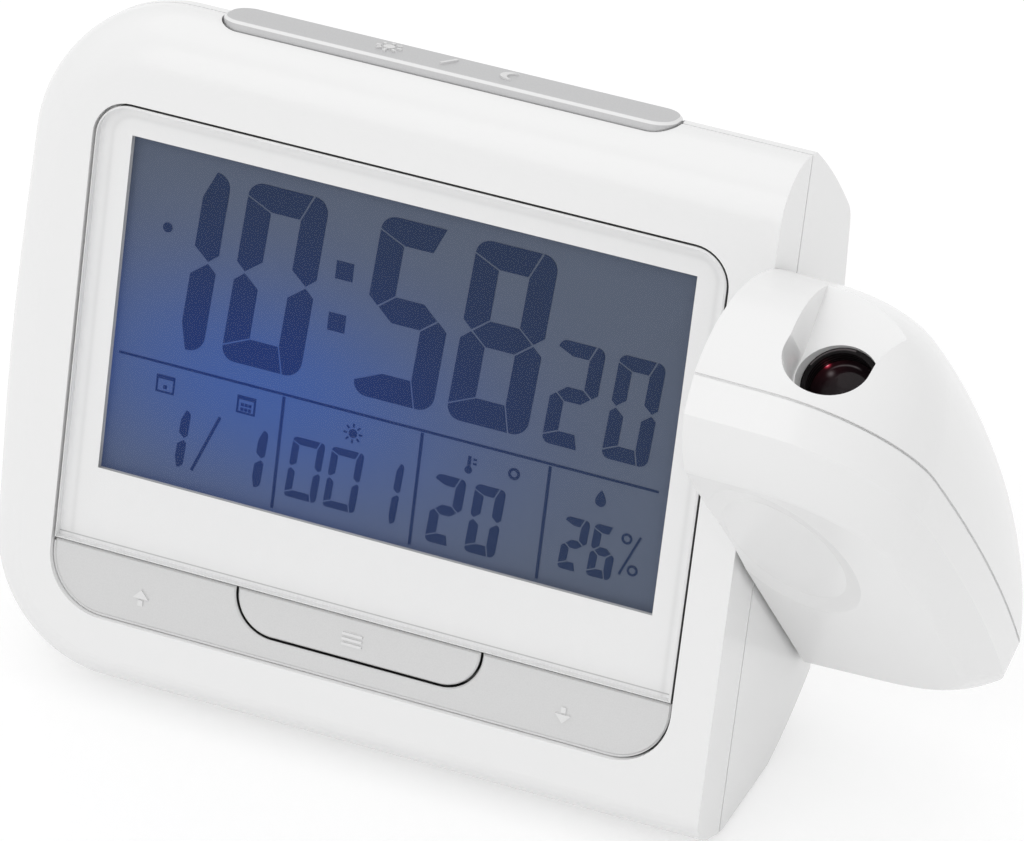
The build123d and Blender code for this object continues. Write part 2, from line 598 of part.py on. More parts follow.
# ---------------------------------------------------------------- window, keys and snooze bar
def display_window():
    upper = block(-FAR, FAR, WINDOW_LOW, FAR, -1, FAR)
    plate = slab(window_sheet(0), 0, WINDOW_THICK) & upper
    rim = plate.faces().sort_by(Axis.Z)[-1].edges()
    return chamfer(rim, WINDOW_CHAMFER)


def key_plate(sheet):
    """A key's plate below the window, with a broken front edge."""
    lower = block(-FAR, FAR, -FAR, WINDOW_LOW - PLATE_GAP, -1, FAR)
    body = sheet & lower
    return chamfer(body.faces().sort_by(Axis.Z)[-1].edges(), KEY_CHAMFER)


def key_stem(place):
    """The stem that pushes a key's switch."""
    return post(*place, STRIP_BACK - 0.5, STEM_END, KEY_STEM / 2)


def up_down_strip():
    sheet = slab(window_sheet(0), STRIP_SINK, STRIP_BACK) - slab(mode_sheet(KEY_GAP), 0, KEY_FLOOR)
    body = key_plate(sheet)
    low = STRIP_LOW + PIVOT_RADIUS
    high = WINDOW_LOW - MODE_HEIGHT - KEY_GAP - PIVOT_RADIUS
    axle = STRIP_BACK + PIVOT_RADIUS
    rib = block(-PIVOT_RADIUS, PIVOT_RADIUS, low, high, STRIP_BACK - 0.2, axle)
    round_edge = Rot(90, 0, 0) * Cylinder(PIVOT_RADIUS, high - low)
    body = body + rib + at(0, (low + high) / 2, axle) * round_edge
    return body + key_stem(KEY_PLACES[0]) + key_stem(KEY_PLACES[2])


def mode_button():
    return key_plate(slab(mode_sheet(0), STRIP_SINK, STRIP_BACK)) + key_stem(KEY_PLACES[1])


def snooze_bar():
    body = bar_shape(0, FLANGE_DOWN, CASE_TOP + SNOOZE_PROUD)
    body = chamfer(body.faces().sort_by(Axis.Y)[-1].edges(), SNOOZE_CHAMFER)
    body = body + bar_shape(SNOOZE_FLANGE, FLANGE_DOWN, FLANGE_TOP)
    pusher = block(-2.0, 2.0, FLANGE_DOWN - SNOOZE_PUSHER, FLANGE_DOWN + 0.2,
                   SNOOZE_DEPTH - 1.5, SNOOZE_SWITCH_N + 1.0)
    return body + pusher


# ---------------------------------------------------------------- display stack and board
def lcd_panel():
    half = DISPLAY_WIDTH / 2 + GLASS_BORDER
    return block(-half, half, DISPLAY_BOTTOM - GLASS_BORDER,
                 DISPLAY_BOTTOM + DISPLAY_HEIGHT + GLASS_BORDER, LEDGE_BACK + FIT, GLASS_BACK)


def light_guide():
    half = DISPLAY_WIDTH / 2 + GLASS_BORDER - FIT
    high = DISPLAY_BOTTOM + DISPLAY_HEIGHT + GLASS_BORDER - FIT
    return block(-half, half, GUIDE_LOW, high, GLASS_BACK + FIT, GUIDE_BACK)


def zebra_strip():
    return block(-ZEBRA_HALF, ZEBRA_HALF, ZEBRA_LOW, ZEBRA_LOW + ZEBRA_WIDE,
                 GLASS_BACK, BOARD_DEPTH)


def lcd_holder():
    """A frame round the glass and the light guide, with a lip behind them."""
    half, tall = HOLDER_WIDTH / 2, HOLDER_HEIGHT / 2
    low, high = DISPLAY_MIDDLE - tall, DISPLAY_MIDDLE + tall
    body = block(-half, half, low, high, LEDGE_BACK, BOARD_DEPTH)
    wall = HOLDER_WALL - FIT / 2
    body = body - block(wall - half, half - wall, low + wall, high - wall, 0, GUIDE_BACK + FIT)
    lip = wall + HOLDER_LIP
    body = body - block(lip - half, half - lip, GUIDE_LOW + 1, high - lip, 0, BOARD_DEPTH + 1)
    slot = ZEBRA_HALF + FIT
    return body - block(-slot, slot, ZEBRA_LOW - FIT, ZEBRA_LOW + ZEBRA_WIDE + FIT,
                        0, BOARD_DEPTH + 1)


LED_PLACE = (-17.0, DISPLAY_BOTTOM + 20.5)
LAMP_RADIUS = 1.5
LAMP_GAP = 0.7              # between the lamp's tip and the light guide


def backlight_led():
    """A round lamp: a base flange, a barrel and a domed tip."""
    tip = GUIDE_BACK + LAMP_GAP
    base = post(*LED_PLACE, BOARD_DEPTH - 1.0, BOARD_DEPTH, LAMP_RADIUS + 0.4)
    lamp = post(*LED_PLACE, tip + LAMP_RADIUS, BOARD_DEPTH, LAMP_RADIUS)
    return base + lamp + at(*LED_PLACE, tip + LAMP_RADIUS) * Sphere(LAMP_RADIUS)


KEY_TAB_HALF = 46.0         # the board's lower part carries the key switches
SNOOZE_TAB_HALF = 20.0      # and its upper part the snooze switch
BOARD_MARGIN = (3.2, 1.4)   # board beyond its left and right posts


def main_board():
    body = block(POST_LEFT - BOARD_MARGIN[0], POST_RIGHT + BOARD_MARGIN[1], BOARD_LOW, BOARD_HIGH,
                 BOARD_DEPTH, BOARD_BACK)
    body = body + block(-KEY_TAB_HALF, KEY_TAB_HALF, STRIP_LOW - 1.2, BOARD_LOW,
                        BOARD_DEPTH, BOARD_BACK)
    body = body + block(-SNOOZE_TAB_HALF, SNOOZE_TAB_HALF, BOARD_HIGH, SWITCH_TAB,
                        BOARD_DEPTH, BOARD_BACK)
    room = HUB_FLANGE + BOX_WALL
    body = body - pivot_bar(room, SIDE_INNER - 2 * FLANGE_THICK, CASE_RIGHT)
    for x, u in BOARD_POSTS:
        body = body - post(x, u, 0, FAR, SCREW_CLEAR)
    return body


CHIPS = [(-14.0, 2.0, 8.0), (22.0, 6.0, 6.5)]   # across, above the display's middle, radius
CHIP_RISE = 1.8
CRYSTAL = (2.0, 10.0, -20.0, -17.0, 3.0)        # left, right, low, high, thick


def board_chips():
    """Two potted chips like low domes, and a flat crystal."""
    chips = []
    for x, up, radius in CHIPS:
        ball = 1.9 * radius
        crown = BOARD_BACK + CHIP_RISE - 0.2 - ball
        dome = at(x, DISPLAY_MIDDLE + up, crown) * Sphere(ball)
        chips.append(post(x, DISPLAY_MIDDLE + up, BOARD_BACK, BOARD_BACK + CHIP_RISE, radius) & dome)
    left, right, low, high, thick = CRYSTAL
    chips.append(block(left, right, DISPLAY_MIDDLE + low, DISPLAY_MIDDLE + high,
                       BOARD_BACK, BOARD_BACK + thick))
    return chips


def key_switches():
    """Three switches that face the keys, and one that faces up to the snooze bar."""
    switches = []
    half = SWITCH_SIZE / 2
    for x, u in KEY_PLACES:
        body = block(x - half, x + half, u - half, u + half, SWITCH_TOP + PLUNGER, BOARD_DEPTH)
        switches.append(body + post(x, u, SWITCH_TOP, BOARD_DEPTH - 1, KEY_STEM / 2))
    side = block(-half, half, SWITCH_TAB - SNOOZE_SWITCH, SWITCH_TAB,
                 2 * SNOOZE_SWITCH_N - BOARD_DEPTH, BOARD_DEPTH)
    plunger = block(-1.4, 1.4, SWITCH_TAB - 0.5, SNOOZE_SWITCH_TOP,
                    SNOOZE_SWITCH_N - PLUNGER, SNOOZE_SWITCH_N + PLUNGER)
    switches.append(side + plunger)
    return switches


def screw_shape(length):
    """A pan-head screw with its seat at the origin: head up, thread down, cross slot."""
    body = Pos(0, 0, -length / 2) * Cylinder(SCREW_CORE, length)
    head = Pos(0, 0, SCREW_HEAD_THICK / 2) * Cylinder(SCREW_HEAD, SCREW_HEAD_THICK)
    long = 1.2 * SCREW_HEAD
    slot = Box(long, SCREW_SLOT, SCREW_HEAD_THICK) + Box(SCREW_SLOT, long, SCREW_HEAD_THICK)
    return body + head - Pos(0, 0, SCREW_HEAD_THICK) * slot


def board_screws():
    turned = Rot(180, 0, 0) * screw_shape(BOARD_SCREW_LENGTH)
    return [at(x, u, BOARD_BACK) * turned for x, u in BOARD_POSTS]


def case_screws():
    turned = Rot(180, 0, 0) * screw_shape(CASE_SCREW_LENGTH)
    return [at(x, u, SCREW_SEAT) * turned for x, u in CASE_BOSSES]


# ---------------------------------------------------------------- back, bay and base pieces
SEAT_GAP = 2 * FIT          # between the back wall and what stands behind it


def buzzer():
    middle = WALL + SEAT_GAP + BUZZER_THICK / 2
    body = BACK * Pos(*GRILLE_PLACE, -middle) * Cylinder(BUZZER_RADIUS, BUZZER_THICK)
    return body - BACK * Pos(*GRILLE_PLACE, -WALL) * Cylinder(1.5, 2.0)


def dc_jack():
    """A power socket: a round nose, its body, the bore and the centre pin."""
    deep = JACK_SIZE[2]
    nose = jack_bar(JACK_RADIUS, 3 * FIT, WALL + 1)
    body = BACK * Pos(*JACK_PLACE, -WALL - SEAT_GAP - deep / 2) * Box(*JACK_SIZE)
    bore = jack_bar(JACK_BORE, -1, deep - 1)
    return nose + body - bore + jack_bar(JACK_PIN, 1, deep)


def alarm_slide():
    """A slide knob with a finger ridge and an inner flange."""
    x, v = SWITCH_PLACE
    wide, high = KNOB
    knob = BACK * Pos(x, v, -WALL / 2 + 0.4) * Box(wide, high, WALL + 1.6)
    ridge = BACK * Pos(x, v, 1.2) * Box(0.7, high, 1.2)
    flange = BACK * Pos(x, v, -WALL - SEAT_GAP - 0.7) * Box(wide + 6, high + 4, 1.4)
    return knob + ridge + flange


NUB_RADIUS = 1.9
NUB_LENGTH = 0.9


def cell(height):
    """A small round cell along x, with its nub to the right."""
    body = Rot(0, 90, 0) * Cylinder(CELL_RADIUS, CELL_LENGTH - NUB_LENGTH)
    nub = Pos(CELL_LENGTH / 2 - NUB_LENGTH, 0, 0) * Rot(0, 90, 0) * Cylinder(
        NUB_RADIUS, 2 * NUB_LENGTH)
    return Pos(-NUB_LENGTH / 2, CELL_Y, height) * (body + nub)


def batteries():
    low, high = CELL_HEIGHTS
    turned = Pos(0, CELL_Y, 0) * Rot(0, 0, 180) * Pos(0, -CELL_Y, 0) * cell(high)
    return [upright(cell(low)), upright(turned)]


LEAF = (0.4, 8.6, 9.0)      # contact plate: thick, deep, high


def battery_contacts():
    """A spring and a plate for each cell, on the tray's two end walls."""
    pieces = []
    room = TRAY_HALF - CELL_LENGTH / 2 - LEAF[0] - FIT
    for sign, height in ((-1, CELL_HEIGHTS[0]), (1, CELL_HEIGHTS[1])):
        for side in (sign, -sign):
            leaf = Pos(side * (TRAY_HALF - FIT - LEAF[0] / 2), CELL_Y, height) * Box(*LEAF)
            if side == sign:
                touch = Rot(0, sign * -90, 0) * Cone(4.0, 1.6, room - FIT)
            else:
                touch = Rot(0, 90, 0) * Cylinder(2.4, room - FIT)
            middle = TRAY_HALF - FIT - LEAF[0] - room / 2 + FIT / 2
            pieces.append(upright(leaf + Pos(side * middle, CELL_Y, height) * touch))
    return pieces


DOOR_LOW = TRAY_LOW - DOOR_LIP + FIT
DOOR_HIGH = TRAY_HIGH + DOOR_LIP - FIT
DOOR_HALF = TRAY_HALF + DOOR_LIP - FIT
DOOR_AXIS = (BAY_REAR - DOOR_THICK / 2, DOOR_LOW + DOOR_THICK / 2)
GRIP_TOP = 3.0              # the first grip rib below the door's upper edge
GRIP_WIDTH = 14.0
GRIP_RISE = 0.7


def battery_door():
    """A plate with a round hinge edge and a wedge of grip ribs at its free edge."""
    y, z = DOOR_AXIS
    plate = Pos(0, y, (z + DOOR_HIGH) / 2) * Box(2 * DOOR_HALF, DOOR_THICK, DOOR_HIGH - z)
    door = plate + Pos(0, y, z) * Rot(0, 90, 0) * Cylinder(DOOR_THICK / 2, 2 * DOOR_HALF)
    for step in range(GRIP_RIBS):
        place = Pos(0, BAY_REAR, DOOR_HIGH - GRIP_TOP - GRIP_PITCH * step)
        door = door + place * Box(GRIP_WIDTH - GRIP_PITCH * step, GRIP_RISE, GRIP_RISE)
    return upright(door)


def rubber_feet():
    return feet(FOOT_RADIUS, 0, FOOT_THICK - FIT)


# ---------------------------------------------------------------- pod, in its own axes
def pod_section(plane, inner, front, width, tail, nose, heel_round):
    """The pod's plan on one plane: flat inner side, round front corner, bowed side, tail."""
    share = (width - inner) / POD_WIDTH
    shoulder = (width - POD_SHOULDER * share, front + POD_FRONT_RISE * share)
    side = (width, front + POD_WIDEST * (tail - front))
    heel = (width - POD_HEEL * share, tail - POD_TAIL_SLANT * share)
    line = Polyline(heel, (inner, tail), (inner, front), shoulder)
    sheet = make_face(line + ThreePointArc(shoulder, side, heel))
    sheet = fillet(sheet.vertices().sort_by_distance((*shoulder, 0))[0], nose * share)
    sheet = fillet(sheet.vertices().sort_by_distance((*heel, 0))[0], heel_round)
    return plane * sheet


def closing(share, law):
    """How much of a half plan is left at a share of the height, by a law's two exponents."""
    return (1 - share ** law[0]) ** (1 / law[1])


def pod_upper_form(inset):
    """The dome above the seam: the front, the side and the tail each close by their own law."""
    sections = []
    for angle in (0, 10, 20, 30, 40, 50, 60, 70, 80, 86):
        share = sin(radians(angle))
        width = inset + (POD_WIDTH - 2 * inset) * closing(share, DOME_SIDE)
        front = POD_CREST - (POD_CREST - inset) * closing(share, DOME_FRONT)
        tail = POD_CREST + (POD_LENGTH - POD_CREST - inset) * closing(share, DOME_TAIL)
        nose = POD_NOSE + (POD_NOSE_TOP - POD_NOSE) * share - inset
        left_over = ((width - inset) / POD_WIDTH) ** 1.5
        heel = (POD_TAIL_ROUND + (POD_TAIL_TOP - POD_TAIL_ROUND) * share - inset) * left_over
        plane = Plane.XY.offset(share * (POD_HEIGHT - inset))
        sections.append(pod_section(plane, inset, front, width, tail, nose, heel))
    return loft(sections)


def belly_plane(share, inset):
    """A plane between the band's lower edge and the bottom, which rises to the tail."""
    down = POD_BAND + share * (POD_BELLY - inset - POD_BAND)
    rise = radians(POD_BELLY_RISE) * share
    return Plane(origin=(0, 0, -down), x_dir=(1, 0, 0), z_dir=(0, -sin(rise), cos(rise)))


def pod_lower_form(inset):
    """The tray below the seam: a band, then a belly that rounds into a flat bottom."""
    nose = POD_NOSE - inset
    tail = POD_LENGTH - inset
    seam = pod_section(Plane.XY, inset, inset, POD_WIDTH - inset, tail, nose,
                       POD_TAIL_ROUND - inset)
    sections = []
    for share in (0.0, 0.2, 0.4, 0.6, 0.8, 0.92, 1.0):
        front = BAND_FRONT + BELLY_FRONT[0] * (1 - (1 - share) ** BELLY_FRONT[1])
        turned = 1 - (1 - share) ** BELLY_SIDE[1]
        side = BAND_SIDE + BELLY_SIDE[0] * turned
        heel = POD_TAIL_ROUND + (BELLY_TAIL_ROUND - POD_TAIL_ROUND) * share - inset
        sections.append(pod_section(belly_plane(share, inset), inset, front + inset,
                                    POD_WIDTH - side - inset, tail - BELLY_TAIL * turned,
                                    nose, heel))
    return loft([seam, sections[0]], ruled=True) + loft(sections)


def along_bar(x, k, d0, d1, radius):
    """A round bar along the pod's optical direction."""
    return Pos(x, (d0 + d1) / 2, k) * Rot(90, 0, 0) * Cylinder(radius, d1 - d0)


def on_axis(d0, d1, radius):
    """A round bar on the optical axis itself."""
    return along_bar(LENS_ACROSS, LENS_UP, d0, d1, radius)


def pocket(grow):
    """The open-topped pocket before the lens: round below, flaring above, leaning back."""
    radius = POCKET_RADIUS + grow
    wide = radius + tan(radians(POCKET_FLARE)) * (FAR - POCKET_UPRIGHT)
    points = [(-radius, 0), (radius, 0), (radius, POCKET_UPRIGHT), (wide, FAR), (-wide, FAR),
              (-radius, POCKET_UPRIGHT)]
    front = Plane(origin=(LENS_ACROSS, FAR, LENS_UP), x_dir=(1, 0, 0), z_dir=(0, -1, 0))
    tool = front * extrude(make_face(Polyline(*points, close=True)), 2 * FAR)
    tool = tool + on_axis(-FAR, FAR, radius)
    slope = radians(POCKET_LEAN)
    wall = Plane(origin=(LENS_ACROSS, POCKET_DEPTH + grow, LENS_UP), x_dir=(1, 0, 0),
                 z_dir=(0, -cos(slope), sin(slope)))
    return tool & (wall * Pos(0, 0, FAR) * Box(4 * FAR, 4 * FAR, 2 * FAR))


def hub_bar(radius, x0, x1):
    """A round bar on the pivot axis, in the pod's axes."""
    return Pos((x0 + x1) / 2, HUB_ALONG, HUB_UP) * Rot(0, 90, 0) * Cylinder(radius, x1 - x0)


POD_TAIL_SCREW = 12.0       # the last screw's distance from the tail
POD_SCREWS = [(22.0, 64.0), (7.0, 68.0), (17.0, POD_LENGTH - POD_TAIL_SCREW)]
POD_SCREW_SEAT = 5.0        # the heads sit this far above the seam, in tunnels of the dome
POD_SCREW_LENGTH = 12.0
POD_BOSS = 3.6
TONGUE_HIGH = 2.5           # the lower shell's hook tongues reach this far above the seam
TONGUE_LOW = -5.0
TONGUE_THICK = 1.2
FRONT_TONGUE = (3.5, 9.0)   # across the pod, behind its front wall
SIDE_TONGUE = (36.0, 46.0)  # along the pod, inside its side wall
FRONT_CLEAR = 0.9           # tongues clear the upper shell's wall, which bows inwards
SIDE_CLEAR = 1.5
RIB_THICK = 1.6
RIB_PLACE = 22.0            # cradle rib under the barrel


def pod_block(x0, x1, d0, d1, k0, k1):
    """A box in the pod's axes."""
    middle = Pos((x0 + x1) / 2, (d0 + d1) / 2, (k0 + k1) / 2)
    return middle * Box(x1 - x0, d1 - d0, k1 - k0)


def pod_post(place, k0, k1, radius):
    """A round post square to the pod's seam."""
    x, d = place
    return Pos(x, d, (k0 + k1) / 2) * Cylinder(radius, k1 - k0)


def pod_upper_shell():
    """The dome with the lens pocket, the barrel's sleeve and three screw tunnels."""
    outer = pod_upper_form(0)
    sleeve = on_axis(POCKET_DEPTH, SLEEVE_END, BARREL_RADIUS + POCKET_WALL)
    shell = outer - (pod_upper_form(POD_WALL) - pocket(POCKET_WALL) - sleeve)
    for place in POD_SCREWS:
        shell = shell + (pod_post(place, 0, POD_HEIGHT, TUNNEL_RADIUS + TUNNEL_WALL) & outer)
        shell = shell - pod_post(place, -1, POD_SCREW_SEAT, SCREW_CLEAR)
        shell = shell - pod_post(place, POD_SCREW_SEAT, POD_HEIGHT, TUNNEL_RADIUS)
    shell = shell - pocket(0) - on_axis(0, BARREL_END, BARREL_RADIUS + RUNNING)
    return shell - hub_bar(HUB_RADIUS + RUNNING, -1, POD_WALL + 0.5)


def tongue(x0, x1, d0, d1, root_x, root_d):
    """A hook tongue with a root that joins it to the wall below the seam."""
    hook = pod_block(x0, x1, d0, d1, TONGUE_LOW, TONGUE_HIGH)
    return hook + pod_block(x0, x1 + root_x, d0 - root_d, d1, TONGUE_LOW, -SEAM_GROOVE)


def pod_lower_shell():
    """The tray with its bosses, hook tongues, cradle ribs and the shallow oval dish."""
    outer = pod_lower_form(0)
    shell = outer - pod_lower_form(POD_WALL)
    for place in POD_SCREWS:
        shell = shell + (pod_post(place, -POD_BELLY, 0, POD_BOSS) & outer)
        shell = shell - pod_post(place, POD_SCREW_SEAT - POD_SCREW_LENGTH - 1, 1, SCREW_CORE)
    d0 = POD_WALL + FRONT_CLEAR
    x1 = POD_WIDTH - POD_WALL - SIDE_CLEAR
    hooks = tongue(*FRONT_TONGUE, d0, d0 + TONGUE_THICK, 0, FRONT_CLEAR + 1)
    hooks = hooks + tongue(x1 - TONGUE_THICK, x1, *SIDE_TONGUE, SIDE_CLEAR + 1, 0)
    shell = shell + (hooks & (outer + pod_block(0, POD_WIDTH, 0, POD_LENGTH, 0, POD_HEIGHT)))
    box_low = LENS_UP - BOX_SIZE / 2
    for d, half, top in ((RIB_PLACE, BARREL_RADIUS + 2, LENS_UP - BARREL_RADIUS / 2),
                         (BOX_START + BOX_LENGTH / 2, BOX_SIZE / 2 + BOX_WALL, box_low)):
        rib = pod_block(LENS_ACROSS - half, LENS_ACROSS + half, d - RIB_THICK / 2,
                        d + RIB_THICK / 2, -POD_BELLY, top)
        shell = shell + (rib & (outer + pod_block(0, POD_WIDTH, 0, POD_LENGTH, 0, POD_HEIGHT)))
    shell = shell - on_axis(0, BOX_START, BARREL_RADIUS + RUNNING)
    shell = shell - pocket(0) - seam_ring() - oval_dish()
    return shell - hub_bar(HUB_RADIUS + RUNNING, -1, POD_WALL + 0.5)


def seam_ring():
    """A shallow groove round the pod, just below its seam."""
    whole = pod_section(Plane.XY, 0, 0, POD_WIDTH, POD_LENGTH, POD_NOSE, POD_TAIL_ROUND)
    inside = pod_section(Plane.XY, -1, SEAM_GROOVE, POD_WIDTH - SEAM_GROOVE,
                         POD_LENGTH - SEAM_GROOVE, POD_NOSE, POD_TAIL_ROUND)
    return extrude(whole, -SEAM_GROOVE) - extrude(inside, -SEAM_GROOVE)


def oval_dish():
    """A shallow oval dish that runs out at the pod's inner side."""
    bottom = belly_plane(1.0, 0)
    wide, long = DISH_RADII
    rims = []
    for side in (-1, 1):
        size = 1 - side * DISH_SLOPE
        sheet = Pos(*DISH_PLACE) * Ellipse(wide * size, long * size)
        rims.append(bottom.offset(side * DISH_DEPTH) * sheet)
    return loft(rims)


def pivot_hub():
    """A hollow hub: one flange inside the case, one inside the pod."""
    inside = POD_START - SIDE_INNER + FIT
    body = hub_bar(HUB_RADIUS, -inside - FLANGE_THICK, POD_WALL + FLANGE_THICK)
    body = body + hub_bar(HUB_FLANGE, -inside - FLANGE_THICK, -inside)
    body = body + hub_bar(HUB_FLANGE, POD_WALL + RUNNING, POD_WALL + FLANGE_THICK)
    return body - hub_bar(HUB_BORE, -FAR, FAR)


def friction_washer():
    ring = hub_bar(HUB_RADIUS + WASHER_REACH, FIT - POD_GAP, -FIT)
    return ring - hub_bar(HUB_RADIUS + RUNNING, -FAR, FAR)


STOP_PLACE = 5.5            # ring between the two lenses, behind the barrel's mouth
FRONT_LENS = 3.4            # middle of each lens behind the barrel's mouth
REAR_LENS = 9.0


def square_plate(start, thick, size):
    """A square plate across the optical axis."""
    half = size / 2
    return pod_block(LENS_ACROSS - half, LENS_ACROSS + half, start, start + thick,
                     LENS_UP - half, LENS_UP + half)


def lens_barrel():
    """A tube with a stop ring, widening into the square lamp box."""
    body = on_axis(BARREL_START, BARREL_END, BARREL_RADIUS)
    body = body + square_plate(BOX_START, BOX_LENGTH, BOX_SIZE)
    body = body - square_plate(BOX_START + BOX_WALL, BOX_LENGTH, BOX_SIZE - 2 * BOX_WALL)
    body = body - on_axis(BARREL_START - 1, BOX_START + BOX_WALL, BARREL_BORE)
    ring = BARREL_START + STOP_PLACE
    stop = on_axis(ring, ring + 1, BARREL_BORE + 0.2) - on_axis(0, BARREL_END, BARREL_BORE - 1.2)
    return body + stop


def lens_disc(middle, bulge, radius):
    """A biconvex lens, turned about the optical axis."""
    rim = LENS_THICK / 2
    pole = rim + bulge
    ball = (radius ** 2 + bulge ** 2) / (2 * bulge)
    half_way = pole - ball + sqrt(ball ** 2 - radius ** 2 / 4)
    outline = Line((0, -pole), (0, pole)) + Line((radius, -rim), (radius, rim))
    for side in (-1, 1):
        outline = outline + ThreePointArc((0, side * pole), (radius / 2, side * half_way),
                                          (radius, side * rim))
    return Pos(LENS_ACROSS, middle, LENS_UP) * revolve(make_face(outline), Axis.Y)


def projection_lens():
    return lens_disc(BARREL_START + FRONT_LENS, 1.0, BARREL_BORE - RUNNING)


def rear_lens():
    return lens_disc(BARREL_START + REAR_LENS, 0.9, BARREL_BORE - RUNNING)


PLATE_SIZE = BOX_SIZE - 2 * BOX_WALL - 2 * FIT


def image_cell():
    return square_plate(BOX_START + BOX_WALL + FIT, LENS_THICK, PLATE_SIZE)


def condenser_lens():
    middle = BARREL_END - 3.0
    frame = square_plate(middle - LENS_THICK / 2, LENS_THICK, PLATE_SIZE)
    return frame + lens_disc(middle, 0.9, BARREL_BORE)


def led_board():
    return square_plate(BARREL_END + FIT, 1.2, BOX_SIZE)


def projector_led():
    start = BARREL_END + FIT
    return on_axis(start - LED_HEIGHT, start, LED_RADIUS)


def pod_screws():
    return [Pos(x, d, POD_SCREW_SEAT) * screw_shape(POD_SCREW_LENGTH) for x, d in POD_SCREWS]


# ---------------------------------------------------------------- assembly and export
def solids_of(shape):
    """One or more separate solids as one compound."""
    pieces = shape if isinstance(shape, list) else [shape]
    solids = [solid for piece in pieces for solid in piece.solids()]
    return Compound(children=solids) if len(solids) > 1 else solids[0]


def build_nodes():
    outer = trimmed_case(0)
    hollow = trimmed_case(WALL)
    case = {
        "front_shell": front_shell(outer, hollow),
        "back_shell": back_shell(outer, hollow),
        "display_window": display_window(),
        "up_down_strip": up_down_strip(),
        "mode_button": mode_button(),
        "snooze_bar": snooze_bar(),
        "lcd_panel": lcd_panel(),
        "light_guide": light_guide(),
        "zebra_strip": zebra_strip(),
        "lcd_holder": lcd_holder(),
        "backlight_led": backlight_led(),
        "main_board": main_board(),
        "board_chips": board_chips(),
        "key_switches": key_switches(),
        "board_screws": board_screws(),
        "case_screws": case_screws(),
        "buzzer": buzzer(),
        "dc_jack": dc_jack(),
        "alarm_slide": alarm_slide(),
        "batteries": batteries(),
        "battery_contacts": battery_contacts(),
        "battery_door": battery_door(),
        "rubber_feet": rubber_feet(),
    }
    pod = {
        "pod_upper_shell": pod_upper_shell(),
        "pod_lower_shell": pod_lower_shell(),
        "pivot_hub": pivot_hub(),
        "friction_washer": friction_washer(),
        "lens_barrel": lens_barrel(),
        "projection_lens": projection_lens(),
        "rear_lens": rear_lens(),
        "image_cell": image_cell(),
        "condenser_lens": condenser_lens(),
        "led_board": led_board(),
        "projector_led": projector_led(),
        "pod_screws": pod_screws(),
    }
    nodes = {name: FACE.location * solids_of(shape) for name, shape in case.items()}
    nodes.update({name: POD.location * solids_of(shape) for name, shape in pod.items()})
    return nodes


def centring(nodes):
    """The move that puts the origin under the middle of the whole object."""
    boxes = [shape.bounding_box() for shape in nodes.values()]
    low_x = min(box.min.X for box in boxes)
    high_x = max(box.max.X for box in boxes)
    low_y = min(box.min.Y for box in boxes)
    high_y = max(box.max.Y for box in boxes)
    return Vector(-(low_x + high_x) / 2, -(low_y + high_y) / 2, 0)


NODES = build_nodes()
SHIFT = centring(NODES)
os.makedirs("parts", exist_ok=True)
for name, shape in NODES.items():
    export_step(Pos(*SHIFT) * shape, f"parts/{name}.step")
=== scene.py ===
"""Looks of a white projection alarm clock: a leaning case with a blue-lit display, a silver key
strip, a silver snooze bar and a projector pod that tilts on its right side. The marks on the
display and the raised signs on the keys are meshes; the rest are materials for the CAD pieces.
The shapes are worked out in millimetres and multiplied by MM where they are placed."""

import json
from math import cos, pi, radians, sin

import bpy
import numpy as np
from mathutils import Matrix, Vector


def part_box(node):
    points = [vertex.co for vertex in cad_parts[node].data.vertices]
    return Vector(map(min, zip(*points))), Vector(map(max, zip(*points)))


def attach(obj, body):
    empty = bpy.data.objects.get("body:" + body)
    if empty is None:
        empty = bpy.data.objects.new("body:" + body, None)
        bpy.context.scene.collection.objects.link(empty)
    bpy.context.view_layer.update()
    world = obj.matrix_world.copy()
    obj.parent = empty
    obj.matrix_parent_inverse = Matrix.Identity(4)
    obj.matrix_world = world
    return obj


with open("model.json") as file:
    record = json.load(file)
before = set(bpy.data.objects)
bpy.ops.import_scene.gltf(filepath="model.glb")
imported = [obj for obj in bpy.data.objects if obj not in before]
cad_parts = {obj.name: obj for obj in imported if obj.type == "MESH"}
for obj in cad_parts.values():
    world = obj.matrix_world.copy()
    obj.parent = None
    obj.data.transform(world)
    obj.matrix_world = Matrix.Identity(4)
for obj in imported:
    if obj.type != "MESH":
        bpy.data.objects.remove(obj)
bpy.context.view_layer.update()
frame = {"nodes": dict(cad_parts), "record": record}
NODES = frame["nodes"]
MM = 0.001


# ------------------------------------------------------------------ the case's and the pod's axes
LEAN = radians(15.0)            # the display leans back from upright
WINDOW_LOW = 20.2               # the window's lower and upper edge, above the front bottom edge
WINDOW_HIGH = 92.6
WINDOW_HALF = 52.4              # half its width
WINDOW_CORNER = 5.6             # the radius of its upper corners
WINDOW_CHAMFER = 0.3
WINDOW_THICK = 2.0
KEY_FACE = 0.8                  # the keys lie this far behind the display's front
RIGHT = Vector((1, 0, 0))       # the case's axes: right, up the display, behind its front
UP_FACE = Vector((0, sin(LEAN), cos(LEAN)))
INTO_FACE = Vector((0, cos(LEAN), -sin(LEAN)))
window_low, window_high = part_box("display_window")
# the middle of the case's front bottom edge, in the plane of the display's front
CASE_ORIGIN = Vector((
    (window_low.x + window_high.x) / 2,
    window_low.y - (WINDOW_LOW + WINDOW_CHAMFER) * MM * sin(LEAN),
    window_low.z - WINDOW_LOW * MM * cos(LEAN) + WINDOW_THICK * MM * sin(LEAN)))

